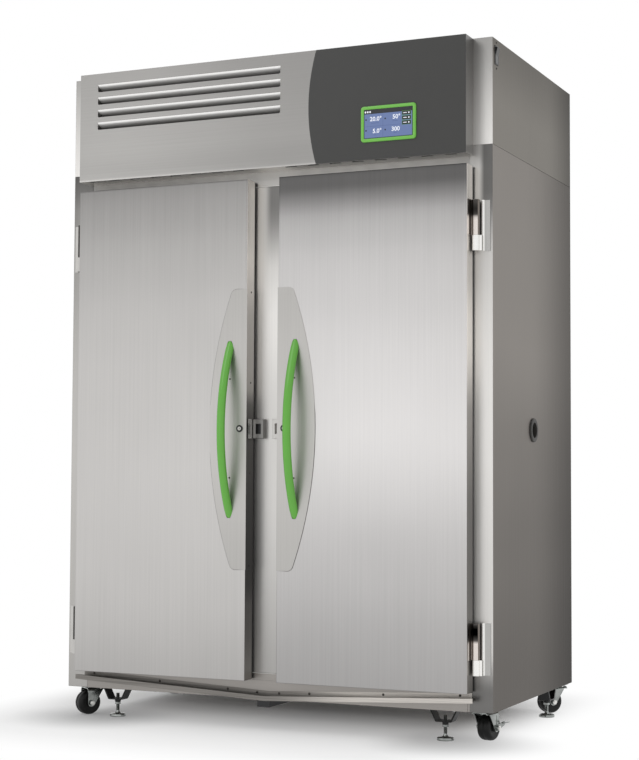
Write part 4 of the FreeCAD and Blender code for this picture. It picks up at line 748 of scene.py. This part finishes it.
def plate_outline(side):
    """A fine painted shadow line round a handle plate, on the door's face."""
    work = welded("handle_plate_" + side)
    front = max((face for face in work.faces if face.normal.y < -0.99), key=lambda face: face.calc_area())
    rim = [vert.co.copy() for vert in front.verts]
    work.free()
    low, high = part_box("door_panel_" + side)
    inner, outer = [], []
    for index, point in enumerate(rim):
        along = (rim[(index + 1) % len(rim)] - rim[index - 1]).normalized()
        beyond = point + along.cross(Vector(FRONT)) * 1.5 * MM
        for ring, spot in ((inner, point), (outer, beyond)):
            ring.append((min(max(spot.x, low[0] + 2 * MM), high[0] - 2 * MM), low[1] - 0.00015, spot.z))
    facing_front("plate_gap_line_" + side, skinned([inner, outer], closed=False), plate_shadow_grey,
                 "door_" + side)


# The blasted plates have a soft sheen without clear streaks, and painted light that is brightest at
# about 0.95 m; their edge faces take the doors' painted edge shade.
# A painted shadow line runs round each plate's edge on the door's face.
plate_shadow_grey = coat("painted_plate_shadow_line", "#6f6d6b", rough=0.6)
bright_screw = coat("bright_screw", "#c9c8c5", rough=0.25, metallic=1.0)
dark_screw = coat("dark_screw", "#4a4642", rough=0.4, metallic=1.0)
plate_steel = brushed_stainless("bead_blasted_plate", "#b9b7b4", rough=0.39,
                                stops=((0.5, 0.88), (0.95, 0.97), (1.3, 0.88), (1.5, 0.80)))
FLANGE_SCREW_Y = -0.406
FLANGE_SCREW_Z = (0.533, 0.835, 1.132, 1.431)
FACE_SCREW_X = 0.117
FACE_SCREW_Z = (0.820, 1.144)
for side, sx in SIDES:
    body = "door_" + side
    eased("handle_plate_" + side, 0.45 * MM, plate_steel,
          faced=[((1, 0, 0), 0.8, free_edge_steel), ((-1, 0, 0), 0.8, free_edge_steel)])
    plate_outline(side)
    low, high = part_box("handle_plate_" + side)
    edge_x = low[0] if sx > 0 else high[0]
    flange_screws = [((edge_x + sx * 0.0001, FLANGE_SCREW_Y, z), (-sx, 0, 0)) for z in FLANGE_SCREW_Z]
    set_out("flange_screws_" + side, screw_head(3.4, 1.0), flange_screws, dark_screw, body)
    face_screws = [((sx * FACE_SCREW_X, low[1] + 0.0001, z), FRONT) for z in FACE_SCREW_Z]
    set_out("face_screws_" + side, screw_head(3.0, 0.9), face_screws, dark_screw, body)


# Handles: a green moulded bow of oval section on each plate, bent to one arc, its ends rounded
# down to where they meet the plate.
HANDLE_HALF = 291.0
HANDLE_PEAK = 71.0
HANDLE_THICK = 11.0
HANDLE_WIDE = 14.0
HANDLE_TIP = 9.0
HANDLE_TAPER = 36.0
HANDLE_RINGS = 60
RING_POINTS = 28
bow_radius = (HANDLE_HALF ** 2 + HANDLE_PEAK ** 2) / (2 * HANDLE_PEAK)
bar_radius = bow_radius - HANDLE_THICK
half_turn = math.acos((bow_radius - HANDLE_PEAK) / bow_radius) + 6.0 / bow_radius
# The bow is glossier and deeper in colour than the bezel.
bow_green = coat("green_moulded_bow", "#5fa93b", rough=0.20, mottle=0.015, grain=0.08)


def bow_ring(angle, low, high):
    """The bow's oval section at an angle along its arc, smaller towards either tip."""
    to_tip = (half_turn - abs(angle)) * bar_radius
    thin, narrow = (max(0.05, math.sqrt(1 - (1 - min(1.0, to_tip / length)) ** 2))
                    for length in (HANDLE_TIP, HANDLE_TAPER))
    ring = []
    for step in range(RING_POINTS):
        turn = 2 * math.pi * step / RING_POINTS
        out = bar_radius + HANDLE_THICK * thin * math.sin(turn)
        x = (low[0] + high[0]) / 2 + HANDLE_WIDE * narrow * math.cos(turn) * MM
        y = high[1] + (bow_radius - HANDLE_PEAK - out * math.cos(angle)) * MM
        z = (low[2] + high[2]) / 2 + out * math.sin(angle) * MM
        ring.append((x, min(y, high[1] - 0.0001), min(max(z, low[2] + 0.0002), high[2] - 0.0002)))
    return ring


for side in ("left", "right"):
    name = "door_handle_" + side
    low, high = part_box(name)
    shares = [2 * index / HANDLE_RINGS - 1 for index in range(HANDLE_RINGS + 1)]
    rings = [bow_ring(half_turn * math.sin(share * math.pi / 2), low, high) for share in shares]
    shaped("green_bow_" + side, skinned(rings, closed=False, ends=True), bow_green,
           "door_" + side, [name], sharp=60.0)


# Hinges: two cast cam-lift hinges on each door, a frame half with its pin and a door half that
# turns on it. Their tones are painted light and shade: polished faces are near white, the knuckles
# carry dark bands of painted reflection, the frame halves' outer part is half as bright, and faces
# that turn away are darker copies.
hinge_bright = brushed_stainless("polished_hinge_flange", "#eeedea", rough=0.2,
                                 across=("X", 0.7425, 0.7455, 0.50))
hinge_side = coat("polished_hinge_side", "#7b736c", rough=0.3, metallic=1.0)
knuckle_steel = brushed_stainless(
    "polished_hinge_knuckle", "#ded6d0", rough=0.2,
    stops=((0.318, 1.0), (0.323, 0.13), (0.376, 0.11), (0.40, 1.0), (1.634, 1.0), (1.639, 0.13),
           (1.70, 0.11)))
shaded_flange = coat("shaded_hinge_flange", "#bdbbb8", rough=0.3, metallic=1.0)
shaded_side = coat("shaded_hinge_side", "#4b4947", rough=0.5, metallic=1.0)
frame_halves = eased("frame_hinges", 0.8 * MM, hinge_bright, curved=3.0 * MM)
frame_halves.data.materials.append(shaded_flange)
frame_halves.data.materials.append(shaded_side)
# The left frame halves are in painted shade: darker copies of the flange and side finishes.
for face in frame_halves.data.polygons:
    if face.center.x < 0:
        face.material_index = 2 if face.normal.x > 0.6 else 1
# The left door's leaves are all in painted shade; the right door's have painted knuckle bands and sides.
for side, leaf, leaf_side in (("left", shaded_side, shaded_side), ("right", knuckle_steel, hinge_side)):
    eased("hinge_leaves_" + side, 0.8 * MM, leaf, curved=3.0 * MM,
          faced=[((1, 0, 0), 0.6, leaf_side), ((-1, 0, 0), 0.6, leaf_side)])


# Locks: a black ring round a bright turning plug with a key slot, in front of each lock case,
# whose edge plate shows in the door's free edge.
black_plastic = coat("black_moulded_plastic", "#17171a", rough=0.35, mottle=0.02)
# Turned metal: a bright plug and edge plate against the black ring.
case_steel = coat("bright_lock_plate", "#f6f5f2", rough=0.25, metallic=1.0)
plug_steel = coat("bright_lock_plug", "#d8d6d2", rough=0.55, metallic=0.25)
LOCK_HEIGHT = 0.981
LOCK_RING = [(7.3, 0.0), (11.6, 0.0), (11.6, 2.3), (10.9, 2.9), (6.7, 2.9), (6.2, 2.6), (7.3, 2.5),
             (7.3, 0.0)]
RING_DEPTH = 0.0024
for side in ("left", "right"):
    eased("lock_case_" + side, 0.4 * MM, case_steel)
    low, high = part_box("lock_plug_" + side)
    plug_x = (low[0] + high[0]) / 2
    ring = turned(LOCK_RING, 40)
    bmesh.ops.delete(ring, geom=[face for face in ring.faces if len(face.verts) != 4], context="FACES")
    bmesh.ops.remove_doubles(ring, verts=ring.verts, dist=1e-6)
    for vert in ring.verts:
        vert.co = (plug_x + vert.co.x, low[1] + RING_DEPTH - vert.co.z, LOCK_HEIGHT + vert.co.y)
    shaped("lock_ring_" + side, ring, black_plastic, "door_" + side)
    eased("lock_plug_" + side, 0.3 * MM, plug_steel, curved=2.2 * MM)
    slot_low = (plug_x - 0.0011, low[1] - 0.0002, LOCK_HEIGHT - 0.0027)
    slot_high = (plug_x + 0.0011, low[1] + 0.001, LOCK_HEIGHT + 0.0027)
    shaped("key_slot_" + side, slab(slot_low, slot_high), black_plastic, "lock_" + side)


# Keepers: polished blocks on the mullion beside each door's free edge, each with a black
# pocket that the lock's bolt enters.
# Painted shade: the keepers' tone falls to less than half towards the left.
keeper_steel = brushed_stainless("polished_keeper", "#b7b5b2", rough=0.3,
                                 across=("X", 0.004, -0.012, 0.42))
eased("latch_keepers", 0.8 * MM, keeper_steel)
pocket_liner = slab((-0.0435, -0.3775, 0.9655), (-0.0265, -0.3763, 0.9965))
shaped("keeper_pocket_liner_left", pocket_liner, black_plastic, "cabinet")


# Drip tray: a folded stainless trough whose two halves slope down to the middle, with dark
# screws through its back flange and a streaky, dulled grain.
# Dulled by cleaning, the sheet shows broad light and dark streaks, and it falls into painted shade
# from its right end towards the middle and over its left half.
tray_steel = brushed_stainless("dull_stainless_tray", "#c6c1bb", grain_axis="X", rough=0.42,
                               across=("X", 0.35, 0.02, 0.37), streaks=0.24)
eased("drip_tray", 0.5 * MM, tray_steel)
TRAY_SCREW_X = (0.040, 0.148, 0.405, 0.662)
TRAY_SCREW_Y = -0.37385
TRAY_MIDDLE = 0.119
TRAY_SLOPE = 0.047
STUD_X = (-0.640, -0.330, 0.330, 0.640)
STUD_Y = -0.3655
BASE_BOTTOM = 0.1
tray_places = [((sx * x, TRAY_SCREW_Y, TRAY_MIDDLE + TRAY_SLOPE * x), FRONT)
               for x in TRAY_SCREW_X for _, sx in SIDES]
set_out("tray_screws", screw_head(4.0, 1.4), tray_places, dark_screw, "cabinet")
stud_places = [((x, STUD_Y, BASE_BOTTOM - 0.0001), (0, 0, -1)) for x in STUD_X]
set_out("base_studs", screw_head(3.6, 2.4), stud_places, bright_screw, "cabinet")


# Drain channel: a black moulded gutter under the base, which takes water from the tray's low
# point to the back.
dressed("drain_channel", black_plastic)


# Casters: zinc-plated pressed forks under square top plates, fat black rubber tyres, bright
# axle nuts, and a pressed brake pedal on the front right one.
# Zinc plate is a patchy cool grey, and the tyres are almost without shine.
zinc = coat("zinc_plate", "#979a98", rough=0.22, mottle=0.22, metallic=1.0)
nut_steel = coat("bright_nut", "#d9d8d5", rough=0.2, mottle=0.03, metallic=1.0)
hub_grey = coat("grey_wheel_hub", "#232324", rough=0.5)
tyre_rubber = coat("tyre_rubber", "#0a0a0a", rough=0.5, mottle=0.08, grain=0.2, shine=0.3)
CASTERS = {
    "front_left": (-708.0, -284.75, 57.4),
    "front_right": (708.0, -284.75, -101.2),
    "rear_left": (-729.5, 455.85, 120.0),
    "rear_right": (729.5, 455.85, 46.4),
}
AXLE_BACK = 32.0
AXLE_UP = 41.0
NUT_OUT = 38.2
BOLT_OFFSET = 25
PLATE_UNDER = 0.0959
TYRE_HALF = [(41.0, 2.2), (41.0, 9.8), (39.9, 15.4), (37.4, 19.6), (33.5, 22.2), (29.0, 23.0), (24.0, 21.5)]
TYRE = [(radius, -out) for radius, out in reversed(TYRE_HALF)] + [(40.4, -1.4), (40.4, 1.4)] + TYRE_HALF
HUB = [(5.1, -26.7), (11.5, -26.7), (12.0, -26.2), (12.0, -21.0), (24.0, -20.0), (24.0, 20.0),
       (12.0, 21.0), (12.0, 26.2), (11.5, 26.7), (5.1, 26.7)]
NUT = [(8.4, 0.0), (8.6, 0.5), (8.6, 2.0), (7.6, 2.9), (5.0, 2.9), (4.6, 3.9), (0.0, 4.2)]


def gather(whole, form):
    """Adds one bmesh to another and frees it."""
    spare = kept("spare", form)
    whole.from_mesh(spare)
    bpy.data.meshes.remove(spare)


def moved(form, matrix):
    """The bmesh turned and shifted."""
    bmesh.ops.transform(form, matrix=matrix, verts=form.verts)
    return form


eased("caster_plates", 0.6 * MM, zinc, curved=5.0 * MM)
plate_bolts = []
for place, (px, py, angle) in CASTERS.items():
    spin = Matrix.Translation((px * MM, py * MM, 0)) @ Matrix.Rotation(math.radians(angle), 4, "Z")
    axle = (spin @ Matrix.Translation((-AXLE_BACK * MM, 0, AXLE_UP * MM))
            @ Matrix.Rotation(-math.pi / 2, 4, "X"))
    eased("caster_fork_" + place, 0.5 * MM, zinc, curved=4.5 * MM)
    shaped("tyre_" + place, moved(turned(TYRE, 72), axle), tyre_rubber, "wheel_" + place,
           ["caster_wheel_" + place], sharp=60.0)
    hub = moved(skinned([ring_points(radius, out, 48) for radius, out in HUB]), axle)
    shaped("hub_" + place, hub, hub_grey, "wheel_" + place, ["caster_wheel_" + place])
    nuts = bmesh.new()
    for half_turns in (1, 0):
        outward = axle @ Matrix.Rotation(half_turns * math.pi, 4, "X")
        gather(nuts, moved(turned(NUT, 6), outward @ Matrix.Translation((0, 0, NUT_OUT * MM))))
    shaped("axle_nuts_" + place, nuts, nut_steel, "fork_" + place)
    plate_bolts += [(((px + bx) * MM, (py + by) * MM, PLATE_UNDER), (0, 0, -1))
                    for bx in (-BOLT_OFFSET, BOLT_OFFSET) for by in (-BOLT_OFFSET, BOLT_OFFSET)]
eased("brake_lever", 0.6 * MM, zinc, curved=5.0 * MM)
set_out("plate_bolts", screw_head(5.0, 3.0), plate_bolts, nut_steel, "cabinet")


# Levelling feet: zinc-plated pads with a rolled edge, a cone up to a threaded stud and a lock
# nut, each through a black bent bracket.
FEET = {
    "front_left": (-605.0, -311.25),
    "front_right": (591.0, -311.25),
    "rear_left": (-729.5, 326.75),
    "rear_right": (729.5, 326.75),
}
# Stoved black enamel keeps a soft gloss on its bends.
black_enamel = coat("black_bracket_enamel", "#0e0e0f", rough=0.38, mottle=0.04, grain=0.1, shine=0.3)
eased("foot_brackets", 0.8 * MM, black_enamel, curved=4.0 * MM)
THREAD_PITCH = 1.75
THREAD_START = 20.0
THREAD_END = 78.0
PAD = [(0.0, 0.0), (26.4, 0.0), (27.0, 0.7), (27.0, 6.4), (26.1, 8.6), (24.0, 9.5), (14.0, 10.6),
       (10.0, 11.6), (7.2, 15.4), (6.0, 18.6)]
STUD_TIP = [(5.9, 77.6), (4.9, 78.9), (0.0, 79.0)]
LOCK_NUT = [(10.0, 41.5), (10.9, 42.2), (10.9, 48.7), (10.0, 49.4)]
thread = []
for turn in range(math.ceil((THREAD_END - THREAD_START) / THREAD_PITCH) - 1):
    height = THREAD_START + turn * THREAD_PITCH
    thread += [(5.95, height), (5.35, height + THREAD_PITCH / 2)]
for place, (px, py) in FEET.items():
    foot = turned(PAD + thread + STUD_TIP, 40)
    gather(foot, turned(LOCK_NUT, 6))
    shaped("levelling_pad_" + place, moved(foot, Matrix.Translation((px * MM, py * MM, 0))), zinc,
           "foot_" + place, ["levelling_foot_" + place])


# Access port: a moulded black rubber sleeve through the right wall for leads and probes, with a
# rounded ring outside.
PORT_PLACE = Vector((768.5, 50.75, 982.6)) * MM
PORT_PROFILE = [(25.5, -80.2), (25.5, 4.6), (26.9, 6.0), (36.8, 6.0), (39.2, 4.9), (40.0, 3.0), (40.0, 0.0),
                (30.0, 0.0), (30.0, -77.2), (36.0, -77.2), (36.0, -80.2)]
port_rings = [[PORT_PLACE + Vector((point.z, point.x, point.y)) for point in ring_points(radius, out, 64)]
              for radius, out in PORT_PROFILE]
# A warm near-black with a broad dull sheen.
port_rubber = coat("port_rubber", "#2b2926", rough=0.55, mottle=0.05, grain=0.15)
shaped("port_sleeve", skinned(port_rings), port_rubber, "cabinet", ["access_port"])


# Wiring device: a glossy black rocker in its moulded body, held by two screws through the
# cover's right side.
eased("switch_body", 0.4 * MM, black_plastic)
rocker_black = coat("rocker_black", "#101012", rough=0.18, mottle=0.0)
eased("power_rocker", 0.8 * MM, rocker_black)
DEVICE_SCREWS = ((0.7686, -0.33255, 2.1161), (0.7686, -0.33255, 2.1989))
device_screws = [(point, (1, 0, 0)) for point in DEVICE_SCREWS]
set_out("device_screws", screw_head(3.6, 1.2), device_screws, dark_screw, "cabinet")


# Shelf tiers: slotted standards on the side walls and the middle, with bright wire shelves made
# of round bars in a flat frame.
# Electropolished wire is bright and even.
wire_steel = coat("electropolished_wire", "#cfcfcd", rough=0.24, mottle=0.02, metallic=1.0)
dressed("shelf_standards", wire_steel)
SHELF_TOPS = (263.2, 773.2, 1283.2)
SHELF_X = (6.3, 679.0)
SHELF_Y = (-295.25, 264.75)
RAIL_WIDE = 5
RAIL_DEEP = 16
MIDDLE_RAIL = (-17.75, -12.75)
WIRE_COUNT = 20
WIRE = [(2.4, 0.5), (2.5, 1.0), (2.5, 559.0), (2.4, 559.5)]
step = (SHELF_X[1] - SHELF_X[0]) / WIRE_COUNT
lying = Matrix.Translation((0, SHELF_Y[0] * MM, 0)) @ Matrix.Rotation(-math.pi / 2, 4, "X")
wire = moved(turned(WIRE, 10), lying)
wire_places = [((sx * (SHELF_X[0] + step * i) * MM, 0, (top - 2.5) * MM), (0, 0, 1))
               for top in SHELF_TOPS for _, sx in SIDES for i in range(1, WIRE_COUNT)]
set_out("shelf_wires", shaded(wire), wire_places, wire_steel, "cabinet", ["shelves"])


def bar(sx, x, y, z, radius):
    """A rounded bar between pairs of x, y and z in millimetres, on the side that sx gives."""
    near, far = sorted((sx * x[0], sx * x[1]))
    return slab([value * MM for value in (near, y[0], z[0])], [value * MM for value in (far, y[1], z[1])],
                radius * MM)


rails = bmesh.new()
for top in SHELF_TOPS:
    deep = (top - RAIL_DEEP, top)
    for _, sx in SIDES:
        for y in ((SHELF_Y[0], SHELF_Y[0] + RAIL_WIDE), (SHELF_Y[1] - RAIL_WIDE, SHELF_Y[1])):
            gather(rails, bar(sx, SHELF_X, y, deep, 1.4))
        for x in ((SHELF_X[0], SHELF_X[0] + RAIL_WIDE), (SHELF_X[1] - RAIL_WIDE, SHELF_X[1])):
            gather(rails, bar(sx, x, SHELF_Y, deep, 1.4))
        gather(rails, bar(sx, SHELF_X, MIDDLE_RAIL, (top - RAIL_DEEP, top - RAIL_WIDE), 1.4))
shaped("shelf_rails", rails, wire_steel, "cabinet", ["shelves"])


# Lamp canopies: white enamelled housings under the shelves and the ceiling, each with a milky
# light panel that is lit.
eased("lamp_canopies", 1.0 * MM, white_enamel)
# The panel glows evenly and casts little light of its own.
milky = coat("milky_lit_panel", "#f4f4ef", rough=0.5, mottle=0.0, glow=0.9)
CANOPY_UNDERSIDES = (715.2, 1225.2, 1743.8)
PANEL_X = (60.5, 624.8)
PANEL_Y = (-241.0, 210.5)
panels = bmesh.new()
for under in CANOPY_UNDERSIDES:
    for _, sx in SIDES:
        gather(panels, bar(sx, PANEL_X, PANEL_Y, (under - 3.2, under - 0.4), 0.8))
shaped("light_panels", panels, milky, "cabinet")


# Air plenum: a false back wall of white enamelled sheet with outlet slots, and a guard of
# plated wire rings over its fan inlet.
eased("air_plenum", 0.5 * MM, white_enamel)
GUARD_PLACE = (0.0, 0.3074, 1.48)
GUARD_WIRE = 1.3
guard = bmesh.new()
for radius in (24, 48, 72, 96, 120):
    loops = []
    for point in ring_points(1.0, 0.0, 72):
        way = point / MM
        loop = []
        for across, along, _ in ring_points(GUARD_WIRE, 0.0, 8):
            reach = radius * MM + across
            loop.append((reach * way.x, along, reach * way.y))
        loops.append(loop)
    gather(guard, skinned(loops))
for index in range(6):
    spoke = slab((-0.0013, 0.0009, 0.0), (0.0013, 0.0019, 0.128))
    gather(guard, moved(spoke, Matrix.Rotation(math.pi * index / 3, 4, "Y")))
shaped("fan_guard", moved(guard, Matrix.Translation(GUARD_PLACE)), wire_steel, "cabinet",
       sharp=50.0)


# Fans: black moulded rotors with swept blades, one behind the plenum's inlet and one behind
# the condenser.
fan_black = coat("fan_moulding", "#202124", rough=0.4, mottle=0.03)
for fan in ("circulation_fan", "condenser_fan"):
    eased(fan, 0.4 * MM, fan_black, curved=6.0 * MM)


# Coils and compressor: mill-finish aluminium fins with a dull grey sheen, and a hermetic steel
# shell in glossy black enamel on its foot.
fin_metal = coat("mill_aluminium_fins", "#b9bbbd", rough=0.35, mottle=0.06, metallic=1.0)
dressed("evaporator_coil", fin_metal)
dressed("condenser_coil", fin_metal)
shell_black = coat("black_compressor_enamel", "#1d1d1f", rough=0.3, mottle=0.03)
eased("compressor", 1.2 * MM, shell_black, curved=14.0 * MM)
